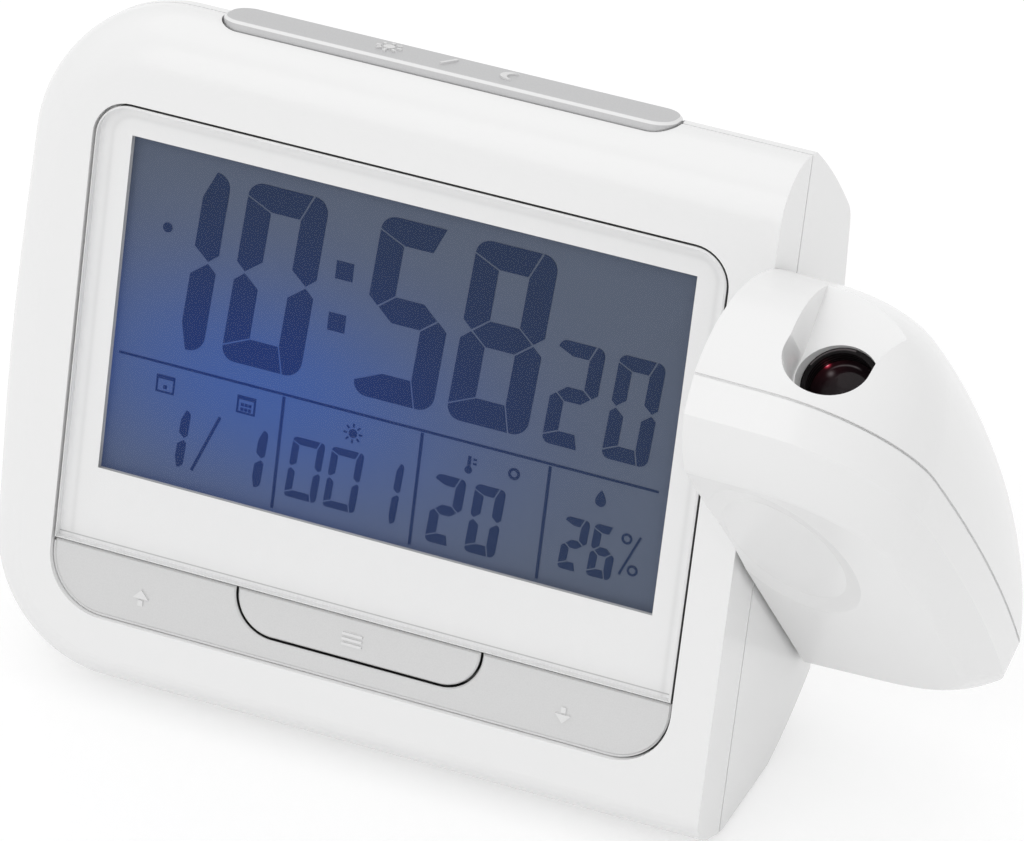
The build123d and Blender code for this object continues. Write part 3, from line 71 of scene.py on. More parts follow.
POD_TILT = radians(54.0)        # the pod's seam falls this much to the back
ALONG = Vector((0, cos(POD_TILT), -sin(POD_TILT)))         # along the seam, and above it
UPWARDS = Vector((0, sin(POD_TILT), cos(POD_TILT)))
POD_ORIGIN = Vector((45.0936, -29.9547, 97.3788)) * MM     # its nose, inner side, at the seam


def on_case(x, u, n=0.0):
    """Places in metres from the case's axes in millimetres: right, up the display, and behind
    its front."""
    places = (np.multiply.outer(np.asarray(x, float), (1, 0, 0))
              + np.multiply.outer(np.asarray(u, float), UP_FACE)
              + np.multiply.outer(np.asarray(n, float), INTO_FACE))
    return places * MM + np.array(CASE_ORIGIN)


# ------------------------------------------------------------------ shader maths
class Wire:
    """A socket with operators: an expression on wires adds its Math nodes."""

    def __init__(self, shop, socket):
        self.shop = shop
        self.socket = socket

    def math(self, operation, *values, clamp=False):
        return self.shop.node("ShaderNodeMath", dict(enumerate(values)),
                              operation=operation, use_clamp=clamp)

    def __add__(self, other):
        return self.math("ADD", self, other)

    def __radd__(self, other):
        return self.math("ADD", other, self)

    def __sub__(self, other):
        return self.math("SUBTRACT", self, other)

    def __rsub__(self, other):
        return self.math("SUBTRACT", other, self)

    def __mul__(self, other):
        return self.math("MULTIPLY", self, other)

    def __rmul__(self, other):
        return self.math("MULTIPLY", other, self)

    def __truediv__(self, other):
        return self.math("DIVIDE", self, other)

    def __pow__(self, other):
        return self.math("POWER", self, other)

    def __gt__(self, other):
        return self.math("GREATER_THAN", self, other)

    def __lt__(self, other):
        return self.math("LESS_THAN", self, other)

    def size(self):
        """The value without its sign."""
        return self.math("ABSOLUTE", self)

    def most(self, other):
        """The larger of the two."""
        return self.math("MAXIMUM", self, other)

    def least(self, other):
        """The smaller of the two."""
        return self.math("MINIMUM", self, other)

    def clip(self):
        """Held between 0 and 1."""
        return self.math("ADD", self, 0.0, clamp=True)

    def fade(self):
        """1 where this is 0, falling to nothing as it grows."""
        return self.math("EXPONENT", self * -1.0)

    def wave(self, length):
        """A sine wave of this length, between -1 and 1."""
        return self.math("SINE", self * (2 * pi / length))

    def rise(self, start, end):
        """0 up to start, 1 from end on, and a smooth step between."""
        return self.shop.node("ShaderNodeMapRange", {"Value": self, "From Min": start,
                                                     "From Max": end},
                              interpolation_type="SMOOTHSTEP")


class Shop:
    """One material and its nodes."""

    def __init__(self, name):
        self.material = bpy.data.materials.new(name)
        self.material.use_nodes = True
        self.tree = self.material.node_tree
        self.tree.nodes.clear()

    def node(self, kind, values=None, output=0, **settings):
        """Adds a node: its settings first, then the values or wires of its sockets."""
        node = self.tree.nodes.new(kind)
        for key, value in settings.items():
            setattr(node, key, value)
        for key, value in (values or {}).items():
            if isinstance(value, Wire):
                self.tree.links.new(value.socket, node.inputs[key])
            else:
                node.inputs[key].default_value = value
        return Wire(self, node.outputs[output]) if node.outputs else None

    def place(self):
        """Object coordinates, in metres."""
        return self.node("ShaderNodeTexCoord", output="Object")

    def axes(self, origin, *directions):
        """How far each point is from origin along each direction, in millimetres."""
        offset = self.node("ShaderNodeVectorMath", {0: self.place(), 1: origin},
                           operation="SUBTRACT")
        return [self.node("ShaderNodeVectorMath", {0: offset, 1: direction / MM}, output="Value",
                          operation="DOT_PRODUCT") for direction in directions]

    def noise(self, scale, detail=2.0, roughness=0.5, vector=None):
        """Soft noise with this many waves to the metre, or to the unit of the vector."""
        return self.node("ShaderNodeTexNoise", {"Vector": vector or self.place(), "Scale": scale,
                                                "Detail": detail, "Roughness": roughness})

    def mix(self, factor, first, second):
        """Blends two colours."""
        pair = [value if isinstance(value, Wire) else (*value, 1) for value in (first, second)]
        return self.node("ShaderNodeMix", {0: factor, 6: pair[0], 7: pair[1]}, output=2,
                         data_type="RGBA")

    def bump(self, height, distance):
        """Normals of a relief: height 0 to 1 stands for this distance, in metres."""
        return self.node("ShaderNodeBump", {"Height": height, "Distance": distance,
                                            "Strength": 1.0})

    def surface(self, colour, roughness, normal=None, **more):
        """The usual shader; more sockets are given by name, with _ for the spaces."""
        values = {"Base Color": colour if isinstance(colour, Wire) else (*colour, 1),
                  "Roughness": roughness}
        if normal:
            values["Normal"] = normal
        for key, value in more.items():
            values[key.replace("_", " ")] = value
        return self.node("ShaderNodeBsdfPrincipled", values)

    def blend(self, factor, first, second):
        """Mixes two shaders."""
        return self.node("ShaderNodeMixShader", {0: factor, 1: first, 2: second})

    def finish(self, shader):
        """Ends the tree with this shader and gives the material."""
        self.node("ShaderNodeOutputMaterial", {"Surface": shader})
        return self.material


# ------------------------------------------------------------------ finishes
def scaled(colour, share):
    """A colour made darker or lighter by one share."""
    return tuple(share * value for value in colour)


def span(across, above):
    """The length of a line that goes this far across and this far up."""
    return (across * across + above * above) ** 0.5


def bell(distance, width):
    """1 at no distance, falling off like a bell curve."""
    share = distance / width
    return (share * share).fade()


def moulded(name, colour, roughness, drift=0.03, grain=900.0, relief=0.000006):
    """Moulded plastic: its colour drifts a little over the piece, and a fine grain moves its
    roughness and its relief."""
    shop = Shop(name)
    cloud = shop.noise(14.0)
    fine = shop.noise(grain, 3.0)
    base = shop.mix(cloud.rise(0.3, 0.7), scaled(colour, 1 - drift), colour)
    return shop.finish(shop.surface(base, roughness * (0.8 + 0.4 * fine),
                                    shop.bump(fine, relief)))


def gloss_white():
    """White polished plastic: its colour and its polish drift a little over the piece."""
    shop = Shop("gloss_white_plastic")
    polish = shop.noise(45.0, 1.0)
    base = shop.mix(shop.noise(11.0), (0.866, 0.866, 0.865), (0.874, 0.874, 0.874))
    return shop.finish(shop.surface(base, 0.22 + 0.05 * polish,
                                    Coat_Weight=0.2, Coat_Roughness=0.15))


SIDE_SHADE_DEPTH = 0.4               # the keys' sides are painted dark this far below their faces: painted shade in the gaps round the keys
PAINT_EDGE = 0.05               # how softly the paint ends there
BAR_TOP = 108.1                 # the snooze bar's upper face, and the chamfer round it
BAR_CHAMFER = 0.45
HIGHLIGHT_SOFTNESS = 0.06                # how softly the painted highlight on the chamfer ends


def silver_paint(name, tone, metallic=0.35, shaded_below=None, bright_edge=None):
    """Silver paint: fine flakes of slightly different grey in a satin skin. From a depth behind
    the display's front, the sides of a key are painted dark: painted shade in the gaps round the
    keys. A chamfer that ends at a given height is painted brighter and less metallic: a painted
    highlight."""
    shop = Shop(name)
    flakes = shop.node("ShaderNodeTexVoronoi", {"Vector": shop.place(), "Scale": 4200.0},
                       output="Distance")
    cloud = shop.noise(35.0)
    base = shop.mix(flakes.rise(0.1, 0.8), scaled(tone, 1.02), scaled(tone, 0.98))
    base = shop.mix(0.35 * cloud, base, scaled(tone, 1.03))
    shine = metallic
    if shaded_below is not None:
        # painted shade: below a depth the key's sides are painted dark, to darken the gaps round
        # the keys
        n, = shop.axes(CASE_ORIGIN, INTO_FACE)
        bare = n.rise(shaded_below, shaded_below + PAINT_EDGE)
        base = shop.mix(bare, base, (0.02, 0.02, 0.02))
        shine = metallic * (1 - bare)
    if bright_edge is not None:
        # painted highlight: the chamfer round the bar's top is painted pale and less metallic
        u, = shop.axes(CASE_ORIGIN, UP_FACE)
        foot = bright_edge - BAR_CHAMFER
        painted_highlight = u.rise(foot, foot + HIGHLIGHT_SOFTNESS) * (1 - u.rise(bright_edge - HIGHLIGHT_SOFTNESS, bright_edge))
        base = shop.mix(painted_highlight, base, (0.82, 0.82, 0.82))
        shine = metallic * (1 - painted_highlight)
    return shop.finish(shop.surface(base, 0.32 + 0.08 * flakes + 0.05 * cloud,
                                    shop.bump(flakes, 0.000002), Metallic=shine))


SIGHT_HALF = 47.0               # the clear part of the window: half its width, and its height
SIGHT_LOW = 32.7
SIGHT_HIGH = 87.5
PRINT_EDGE = 0.04               # half the softness of the printed border's edge


def in_sight(x, u):
    """1 in the window's clear rectangle and 0 on its white printed border."""
    beside = x.size().rise(SIGHT_HALF - PRINT_EDGE, SIGHT_HALF + PRINT_EDGE)
    below = u.rise(SIGHT_LOW - PRINT_EDGE, SIGHT_LOW + PRINT_EDGE)
    above = u.rise(SIGHT_HIGH - PRINT_EDGE, SIGHT_HIGH + PRINT_EDGE)
    return (1 - beside) * below * (1 - above)


def window_depth(x, u):
    """How far inside the window's outline a point is, with its round upper corners: the lower
    end is left open, because the key strip carries the same outline on."""
    beside = x.size() - (WINDOW_HALF - WINDOW_CORNER)
    above = u - (WINDOW_HIGH - WINDOW_CORNER)
    out = span(beside.most(0.0), above.most(0.0))
    return WINDOW_CORNER - out - beside.most(above).least(0.0)


def mirror_share(shop, straight):
    """The share that a clear face mirrors: this much seen straight on, and all at a graze."""
    facing = shop.node("ShaderNodeLayerWeight", {"Blend": 0.5}, output="Facing")
    return straight + (1 - straight) * facing ** 5


RIM_INSIDE = 2.1                # a soft line of painted shade this far inside the outline, and its half width
RIM_WIDTH = 0.396
PALE_FROM, PALE_TO = 0.3, 1.9   # the paler band of painted light outside that line ends between these depths
FOOT_LINE = 0.62                # a thin line this far above the window's lower edge
FOOT_FROM, FOOT_TO = 0.06, 0.14     # how it ends on either side
GAP_SHADE_REACH = 0.4                    # the side painted dark, as painted shade in the gap round the plate, starts this close to the outline
SKIN = 0.02                     # how far behind the front a point still counts as the front
REAR_SKIN = 0.05                # and the same for the back


def printed_window():
    """Clear plate: its polished front mirrors a little, its back carries the white border, its
    chamfer shines, and its side is painted dark at the top and at the right, as painted shade in
    the gap round the plate, but pale from inside. A soft line of painted shade follows the outline
    where a moulded rim would end, a paler band of painted light lies between that line and the
    outline, and a thin line follows its lower edge."""
    shop = Shop("printed_window")
    x, u, n = shop.axes(CASE_ORIGIN, RIGHT, UP_FACE, INTO_FACE)
    fine = shop.noise(300.0)
    clear = shop.node("ShaderNodeBsdfTransparent")
    gloss = shop.node("ShaderNodeBsdfGlossy", {"Roughness": 0.05})
    front = shop.blend(mirror_share(shop, 0.006), clear, gloss)
    inside = window_depth(x, u)
    # painted shade: a soft darker line inside the outline, as if a moulded rim ended there;
    # painted light: a paler band along the outline
    rim = bell(inside - RIM_INSIDE, RIM_WIDTH)
    edge = 1 - inside.rise(PALE_FROM, PALE_TO)
    foot = 1 - (u - (WINDOW_LOW + FOOT_LINE)).size().rise(FOOT_FROM, FOOT_TO)
    ink = shop.mix(shop.noise(18.0), (0.865, 0.865, 0.865), (0.885, 0.885, 0.885))
    ink = shop.mix(edge, ink, (0.94, 0.94, 0.94))
    ink = shop.mix(0.4 * rim, ink, (0.72, 0.72, 0.72))
    ink = shop.mix(foot, ink, (0.56, 0.56, 0.56))
    border = shop.surface(ink, 0.45 + 0.1 * fine)
    back = shop.blend(in_sight(x, u), border, clear)
    chamfer = shop.surface(shop.mix(fine, (0.9, 0.9, 0.9), (0.93, 0.93, 0.93)), 0.2)
    # painted shade: the plate's side is dark at the top and at the right, to darken the gap round
    # it
    corner = (x > WINDOW_HALF - WINDOW_CORNER) * (u > WINDOW_HIGH - WINDOW_CORNER)
    painted_gap_shade = ((x > WINDOW_HALF - GAP_SHADE_REACH) + (u > WINDOW_HIGH - GAP_SHADE_REACH) + corner).clip()
    outside = 1 - shop.node("ShaderNodeNewGeometry", output="Backfacing")
    side = shop.surface(shop.mix(painted_gap_shade * outside, (0.85, 0.85, 0.85), (0.08, 0.08, 0.08)),
                        0.5 + 0.1 * fine)
    rear = shop.blend(n > WINDOW_THICK - REAR_SKIN, side, back)
    near = shop.blend(n > SKIN, front, chamfer)
    return shop.finish(shop.blend(n > WINDOW_CHAMFER + SKIN, near, rear))


GLOW_PLACE = (-22.0, 52.0)      # the lamp behind the display, and how far its glow spreads
GLOW_SPREAD = (35.5, 18.5)
PANEL_LEFT = -47.15             # the display's own edges, with a pale sealed margin outside them
PANEL_LOW = 32.45


def glow(x, u):
    """The lamp's glow: 1 at its middle, falling off like a bell curve."""
    across = (x - GLOW_PLACE[0]) / GLOW_SPREAD[0]
    up = (u - GLOW_PLACE[1]) / GLOW_SPREAD[1]
    return (across * across + up * up).fade()


def lcd_panel():
    """The display's glass: a grey-blue polariser lit blue from behind around the lamp."""
    shop = Shop("lcd_polariser")
    x, u = shop.axes(CASE_ORIGIN, RIGHT, UP_FACE)
    light = glow(x, u)
    film = shop.noise(9.0)
    base = shop.mix(light, (0.1, 0.122, 0.172), (0.043, 0.074, 0.12))
    base = shop.mix(0.2 * film, base, (0.11, 0.128, 0.175))
    within = (x > PANEL_LEFT) * (u > PANEL_LOW)
    base = shop.mix(within, (0.55, 0.56, 0.58), base)
    lamp = shop.mix(light * within, (0.0, 0.0, 0.0), (0.004, 0.028, 0.2))
    return shop.finish(shop.surface(base, 0.45 + 0.1 * shop.noise(700.0), Specular_IOR_Level=0.1,
                                    Emission_Color=lamp, Emission_Strength=1.0))


def lcd_ink():
    """The display's dark marks, which let a little of the lamp through."""
    shop = Shop("lcd_marks")
    x, u = shop.axes(CASE_ORIGIN, RIGHT, UP_FACE)
    light = glow(x, u)
    base = shop.mix(light, (0.021, 0.036, 0.084), (0.011, 0.028, 0.075))
    base = shop.mix(0.3 * shop.noise(60.0), base, (0.023, 0.038, 0.085))
    lamp = shop.mix(light, (0.0, 0.0, 0.0), (0.0, 0.005, 0.085))
    return shop.finish(shop.surface(base, 0.5, Specular_IOR_Level=0.1, Emission_Color=lamp,
                                    Emission_Strength=1.0))


LAYER_PITCH = 0.36              # from one dark layer of the connector to the next


def layered_rubber():
    """Rubber connector: thin dark layers that carry current between pale ones."""
    shop = Shop("layered_rubber")
    x, = shop.axes(CASE_ORIGIN, RIGHT)
    layer = x.wave(LAYER_PITCH).rise(-0.2, 0.2)
    base = shop.mix(layer, (0.5, 0.33, 0.34), (0.03, 0.03, 0.03))
    return shop.finish(shop.surface(base, 0.7 + 0.1 * shop.noise(900.0)))


def solder_mask(name, mask, track):
    """Circuit board: runs of track under the mask, a little lighter and raised."""
    shop = Shop(name)
    place = shop.place()
    runs = shop.node("ShaderNodeTexBrick", {"Vector": place, "Scale": 90.0, "Mortar Size": 0.035,
                                            "Brick Width": 0.9, "Row Height": 0.22,
                                            "Color1": (0, 0, 0, 1), "Color2": (0, 0, 0, 1),
                                            "Mortar": (1, 1, 1, 1)}, output="Fac")
    base = shop.mix(runs, mask, track)
    return shop.finish(shop.surface(base, 0.25 + 0.15 * shop.noise(600.0),
                                    shop.bump(runs, 0.00003), Coat_Weight=0.3))


def brushed_steel(name, colour, roughness):
    """Plated steel: scratches drawn out along one direction."""
    shop = Shop(name)
    drawn = shop.node("ShaderNodeMapping", {"Vector": shop.place(),
                                            "Scale": (60.0, 2400.0, 2400.0)})
    scratch = shop.noise(1.0, 4.0, 0.6, drawn)
    base = shop.mix(scratch, scaled(colour, 0.85), colour)
    return shop.finish(shop.surface(base, roughness + 0.15 * scratch,
                                    shop.bump(scratch, 0.000008), Metallic=1.0))


CELL_CAP = 1.6                  # the bare steel at each end of a cell
CELL_BAND = 13.0                # the copper-coloured end of its sleeve, from the cell's right end
SLEEVE_EDGE = 0.1               # how softly the two end


def cell_sleeve():
    """Dry cells: a dark sleeve with a copper-coloured band, and bare steel ends."""
    shop = Shop("cell_sleeve")
    low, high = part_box("batteries")
    x, = shop.axes((low + high) / 2, RIGHT)
    half = (high.x - low.x) / 2 / MM
    steel = x.size().rise(half - CELL_CAP, half - CELL_CAP + SLEEVE_EDGE)
    band = x.rise(half - CELL_BAND, half - CELL_BAND + SLEEVE_EDGE)
    base = shop.mix(band, (0.015, 0.015, 0.018), (0.45, 0.2, 0.06))
    base = shop.mix(steel, base, (0.6, 0.6, 0.6))
    fine = shop.noise(800.0)
    return shop.finish(shop.surface(base, 0.22 + 0.12 * fine, shop.bump(fine, 0.000006),
                                    Metallic=steel))


LENS_AXIS = (17.0, 8.0)         # the lens's axis in the pod, across and above the seam
LAMP_SPOT = (13.2, 11.5)        # where the red lamp's glow is painted on the lens, in the same directions
PAINTED_GLINT_SPOT = (14.3, 10.2)        # a painted reflection: a pale spot beside it
GLINT_RING_RADIUS = 5.75              # a painted highlight ring on the tube, from its axis
GLINT_RIGHT, GLINT_LOW = 17.5, 10.0       # it ends at these places across and above the seam
TURNED_PITCH = 0.8              # from one turned ring of the tube to the next
GLINT_RING_HALF_WIDTH = 0.12              # half that painted highlight's width
LENS_LINE = 4.2                 # a faint curved line of painted reflection in the lens, from its axis
LENS_LINE_WIDTH = 0.14          # half its width
LINE_START = (13.6, 15.0)       # it appears between these places across, and fades between those
LINE_END = (17.4, 18.8)
PALE_SIZE = 0.45                # the pale spot's size
LAMP_HALO, LAMP_SIZE, LAMP_CORE = 2.6, 0.38, 0.16       # the three sizes of the red lamp's painted glow


def from_spot(x, up, spot):
    """How far a point is from a spot in the pod, across and above the seam."""
    return span(x - spot[0], up - spot[1])


def ringed_barrel():
    """Lens tube: matt black, with fine turned rings that keep stray light down, and a painted
    highlight: one thin bright arc round its axis, on its upper left."""
    shop = Shop("ringed_barrel")
    x, along, up = shop.axes(POD_ORIGIN, RIGHT, ALONG, UPWARDS)
    # painted highlight: a thin bright arc round the axis, only on the upper left
    edge = bell(from_spot(x, up, LENS_AXIS) - GLINT_RING_RADIUS, GLINT_RING_HALF_WIDTH)
    turned = along.wave(TURNED_PITCH) * 0.5 + 0.5
    base = shop.mix(turned, (0.005, 0.004, 0.0045), (0.012, 0.01, 0.011))
    base = shop.mix(edge * (x < GLINT_RIGHT) * (up > GLINT_LOW), base, (0.16, 0.14, 0.145))
    return shop.finish(shop.surface(base, 0.4 + 0.15 * shop.noise(900.0),
                                    shop.bump(turned, 0.00005), Specular_IOR_Level=0.12))


def dark_lens():
    """Front lens over the dark tube: the red lamp's glow is painted on it as emission, and a pale
    spot and a faint curved line are painted reflections of its inner faces."""
    shop = Shop("dark_lens")
    x, up = shop.axes(POD_ORIGIN, RIGHT, UPWARDS)
    cloud = shop.noise(120.0)
    base = shop.mix(cloud, (0.008, 0.004, 0.005), (0.014, 0.009, 0.011))
    # painted reflection: a faint curved line and a pale spot in the base colour
    ends = x.rise(*LINE_START) * (1 - x.rise(*LINE_END)) * (up > LENS_AXIS[1])
    line = bell(from_spot(x, up, LENS_AXIS) - LENS_LINE, LENS_LINE_WIDTH) * ends
    pale = bell(from_spot(x, up, PAINTED_GLINT_SPOT), PALE_SIZE)
    base = shop.mix((0.8 * line + pale).clip(), base, (0.2, 0.18, 0.185))
    # painted glow of the red lamp, in the emission
    far = from_spot(x, up, LAMP_SPOT)
    light = shop.mix(bell(far, LAMP_HALO), (0.0, 0.0, 0.0), (0.012, 0.002, 0.003))
    light = shop.mix(bell(far, LAMP_SIZE), light, (0.75, 0.05, 0.1))
    light = shop.mix(bell(far, LAMP_CORE), light, (1.0, 0.45, 0.5))
    return shop.finish(shop.surface(base, 0.05 + 0.02 * cloud, Specular_IOR_Level=0.2,
                                    Emission_Color=light, Emission_Strength=1.0))


def clear_lens(name):
    """Moulded acrylic lens: it lets light through and mirrors a little at its faces."""
    shop = Shop(name)
    polish = shop.bump(shop.noise(250.0), 0.000003)
    mirror = mirror_share(shop, 0.04)
    clear = shop.node("ShaderNodeBsdfTransparent", {"Color": (0.93, 0.95, 0.96, 1)})
    gloss = shop.node("ShaderNodeBsdfGlossy", {"Roughness": 0.04, "Normal": polish})
    return shop.finish(shop.blend(mirror, clear, gloss))


def lamp_epoxy(name, colour):
    """Lamp in pale epoxy, a little cloudy around its die."""
    shop = Shop(name)
    cloud = shop.noise(700.0)
    base = shop.mix(cloud.rise(0.35, 0.65), colour, (0.85, 0.86, 0.88))
    return shop.finish(shop.surface(base, 0.12 + 0.1 * cloud, shop.bump(cloud, 0.00001),
                                    Coat_Weight=0.5))


def frosted_guide():
    """Light guide: frosted acrylic with printed dots that turn the light forward."""
    shop = Shop("frosted_guide")
    dots = shop.node("ShaderNodeTexVoronoi", {"Vector": shop.place(), "Scale": 700.0,
                                              "Randomness": 0.25}, output="Distance")
    base = shop.mix(dots.rise(0.2, 0.35), (0.92, 0.93, 0.95), (0.66, 0.72, 0.8))
    return shop.finish(shop.surface(base, 0.5 + 0.1 * dots, shop.bump(dots, 0.00002)))


PIN_FROM, PIN_TO = 1.2, 1.5     # where the socket's pin ends, as squares of its radius


def power_socket():
    """Black socket with a bright pin in its middle."""
    shop = Shop("power_socket")
    mount = next(m for m in frame["record"]["mounts"] if m["name"] == "power_socket")
    axis = Vector(mount["axis"])
    across, above = shop.axes(Vector(mount["pos_m"]), RIGHT, axis.cross(RIGHT))
    pin = 1 - (across * across + above * above).rise(PIN_FROM, PIN_TO)
    fine = shop.noise(900.0)
    base = shop.mix(pin, (0.014, 0.014, 0.015), (0.6, 0.58, 0.52))
    return shop.finish(shop.surface(base, 0.4 - 0.15 * pin + 0.1 * fine,
                                    shop.bump(fine, 0.00001), Metallic=pin))


def image_cell():
    """Small display that the lamp shines through: a dark cloudy film."""
    shop = Shop("image_cell")
    film = shop.noise(200.0)
    base = shop.mix(film, (0.03, 0.02, 0.025), (0.06, 0.04, 0.05))
    return shop.finish(shop.surface(base, 0.1 + 0.1 * film, Coat_Weight=0.5))


WHITE = gloss_white()
SILVER_BAR = silver_paint("silver_paint_bar", (0.605, 0.605, 0.61), metallic=0.7,
                          bright_edge=BAR_TOP)
SILVER_KEYS = silver_paint("silver_paint_keys", (0.68, 0.68, 0.68),
                           shaded_below=KEY_FACE + SIDE_SHADE_DEPTH)
SILVER_SKIRT = silver_paint("silver_paint_skirt", (0.8, 0.8, 0.8))
# a lighter copy of the keys' silver: painted highlight on the raised signs
SILVER_SIGNS_LIT = silver_paint("silver_paint_signs", (0.77, 0.77, 0.77))
FINISHES = {
    "front_shell": WHITE, "back_shell": WHITE, "pod_upper_shell": WHITE,
    "pod_lower_shell": WHITE, "battery_door": WHITE,
    "snooze_bar": SILVER_BAR, "mode_button": SILVER_KEYS, "up_down_strip": SILVER_KEYS,
    "display_window": printed_window(), "lcd_panel": lcd_panel(),
    "light_guide": frosted_guide(), "zebra_strip": layered_rubber(),
    "lcd_holder": moulded("white_frame", (0.85, 0.85, 0.84), 0.55),
    "backlight_led": lamp_epoxy("blue_lamp", (0.35, 0.5, 0.85)),
    "projector_led": lamp_epoxy("red_lamp", (0.8, 0.25, 0.22)),
    "main_board": solder_mask("green_board", (0.012, 0.11, 0.035), (0.03, 0.2, 0.07)),
    "led_board": solder_mask("pale_board", (0.5, 0.5, 0.48), (0.62, 0.62, 0.6)),
    "board_chips": moulded("black_epoxy", (0.018, 0.018, 0.019), 0.3, 0.2, 400.0, 0.00004),
    "key_switches": moulded("black_switches", (0.022, 0.022, 0.022), 0.45, 0.15),
    "buzzer": moulded("black_sounder", (0.016, 0.016, 0.017), 0.42, 0.15),
    "alarm_slide": moulded("black_slide", (0.02, 0.02, 0.021), 0.38, 0.15, 700.0, 0.00001),
    "dc_jack": power_socket(), "batteries": cell_sleeve(),
    "board_screws": brushed_steel("zinc_board_screws", (0.62, 0.62, 0.64), 0.28),
    "case_screws": brushed_steel("zinc_case_screws", (0.6, 0.6, 0.62), 0.3),
    "pod_screws": brushed_steel("zinc_pod_screws", (0.6, 0.6, 0.62), 0.3),
    "battery_contacts": brushed_steel("nickel_contacts", (0.68, 0.66, 0.62), 0.22),
    "rubber_feet": moulded("grey_rubber", (0.16, 0.16, 0.16), 0.75, 0.12, 500.0, 0.00003),
    "friction_washer": moulded("dark_fibre", (0.06, 0.055, 0.05), 0.85, 0.25, 350.0, 0.00005),
    "pivot_hub": moulded("natural_acetal", (0.78, 0.78, 0.76), 0.42),
    "lens_barrel": ringed_barrel(), "projection_lens": dark_lens(),
    "rear_lens": clear_lens("rear_acrylic"), "condenser_lens": clear_lens("condenser_acrylic"),
    "image_cell": image_cell(),
}


def paint(node, material):
    """Gives one finish to all of a CAD node."""
    slots = NODES[node].material_slots
    if not slots:
        NODES[node].data.materials.append(material)
    for slot in slots:
        slot.material = material


for node, material in FINISHES.items():
    paint(node, material)


# ------------------------------------------------------------------ flat marks
def arc(centre, radius, start, end, steps=7):
    """Points on an arc, from one angle in degrees to another."""
    turn = np.radians(np.linspace(start, end, steps))
    return np.array(centre) + radius * np.stack((np.cos(turn), np.sin(turn)), axis=1)


def disc(x, u, radius, steps=24):
    """Points round a circle."""
    return arc((x, u), radius, 0, 360, steps + 1)[:-1]


def bar(start, end, thick):
    """A straight bar between two points, square at its ends."""
    start, end = np.array(start, float), np.array(end, float)
    ahead = (end - start) / np.hypot(*(end - start))
    side = np.array((-ahead[1], ahead[0])) * thick / 2
    return np.array((start - side, end - side, end + side, start + side))


def outline(*parts):
    """Joins points and runs of points into one counterclockwise outline."""
    return np.concatenate([np.atleast_2d(np.array(part, float)) for part in parts])


def shrunk(points, gap):
    """Moves every edge of a counterclockwise outline inwards by gap: each corner goes to where
    its two moved edges meet."""
    edges = np.roll(points, -1, axis=0) - points
    length = np.hypot(edges[:, 0], edges[:, 1])[:, None]
    edges = edges / length
    inwards = np.stack((-edges[:, 1], edges[:, 0]), axis=1)
    before, ahead = np.roll(inwards, 1, axis=0), inwards
    meet = before + ahead
    return points + gap * meet / (1 + np.sum(before * ahead, axis=1))[:, None]


SEGMENTS = {"0": "abcdef", "1": "bc", "2": "abged", "5": "afgcd", "6": "afgedc", "8": "abcdefg"}
SEGMENT_GAP = 0.25              # the clear line between two segments
DIGIT_SLANT = 0.062


def segment_outlines(width, height, thick):
    """The seven strokes of a digit in a cell: a top, b and c right, d bottom, e and f left, g
    middle. The top and bottom strokes are cut aslant where they meet the sides, the side
    strokes end in a point at mid height, and both right corners and the left ones of a and d
    are rounded. The bare numbers are shares of a stroke's thickness."""
    w, h, t, m = width, height, thick, height / 2
    left, right = 0.55 * t, 0.6 * t
    return {
        "a": outline((0, h - left), (t, h - t), (w - t, h - t), (w - 0.62 * t, h),
                     arc((left, h - left), left, 90, 180)[:-1]),
        "b": outline((w - t, h - t), (w - t, m + 0.5 * t), (w - 0.38 * t, m),
                     (w, m + 0.33 * t), arc((w - right, h - right), right, 0, 90)),
        "c": outline((w - 0.38 * t, m), (w - t, m - 0.5 * t), (w - t, t), (w - 0.71 * t, 0),
                     arc((w - right, right), right, -90, 0), (w, m - 0.33 * t)),
        "d": outline((w - 0.71 * t, 0), (w - t, t), (t, t), (0, left),
                     arc((left, left), left, 180, 270)[1:]),
        "e": outline((0.38 * t, m), (0, m - 0.33 * t), (0, left), (t, t), (t, m - 0.5 * t)),
        "f": outline((t, h - t), (0, h - left), (0, m + 0.33 * t), (0.38 * t, m),
                     (t, m + 0.5 * t)),
        "g": outline((0.4 * t, m), (t, m - 0.5 * t), (w - t, m - 0.5 * t), (w - 0.4 * t, m),
                     (w - t, m + 0.5 * t), (t, m + 0.5 * t)),
    }


def digits(text, lefts, baseline, width, height, thick):
    """Outlines of digits, each leaning to the right from its own left corner."""
    strokes = segment_outlines(width + SEGMENT_GAP, height + SEGMENT_GAP, thick + SEGMENT_GAP)
    marks = []
    for character, left in zip(text, lefts):
        for key in SEGMENTS[character]:
            points = shrunk(strokes[key], SEGMENT_GAP / 2) - SEGMENT_GAP / 2
            marks.append(points @ np.array(((1, 0), (DIGIT_SLANT, 1))) + (left, baseline))
    return marks


def frame_outline(x, u, width, height, thick):
    """Four bars around a box, the top one twice as broad: a leaf of a calendar."""
    left, right, low, high = x - width / 2, x + width / 2, u - height / 2, u + height / 2
    half = thick / 2
    return [bar((left + half, low), (left + half, high - 2 * thick), thick),
            bar((right - half, low), (right - half, high - 2 * thick), thick),
            bar((left + thick, low + half), (right - thick, low + half), thick),
            bar((left, high - thick), (right, high - thick), 2 * thick)]


def sun(x, u, radius, reach, thick, rays=8):
    """A disc with short rays around it, each over the last 0.38 of the reach."""
    marks = [disc(x, u, radius)]
    for turn in np.arange(rays) * 2 * pi / rays:
        ahead = np.array((cos(turn), sin(turn)))
        marks.append(bar((x, u) + 0.62 * reach * ahead, (x, u) + reach * ahead, thick))
    return marks


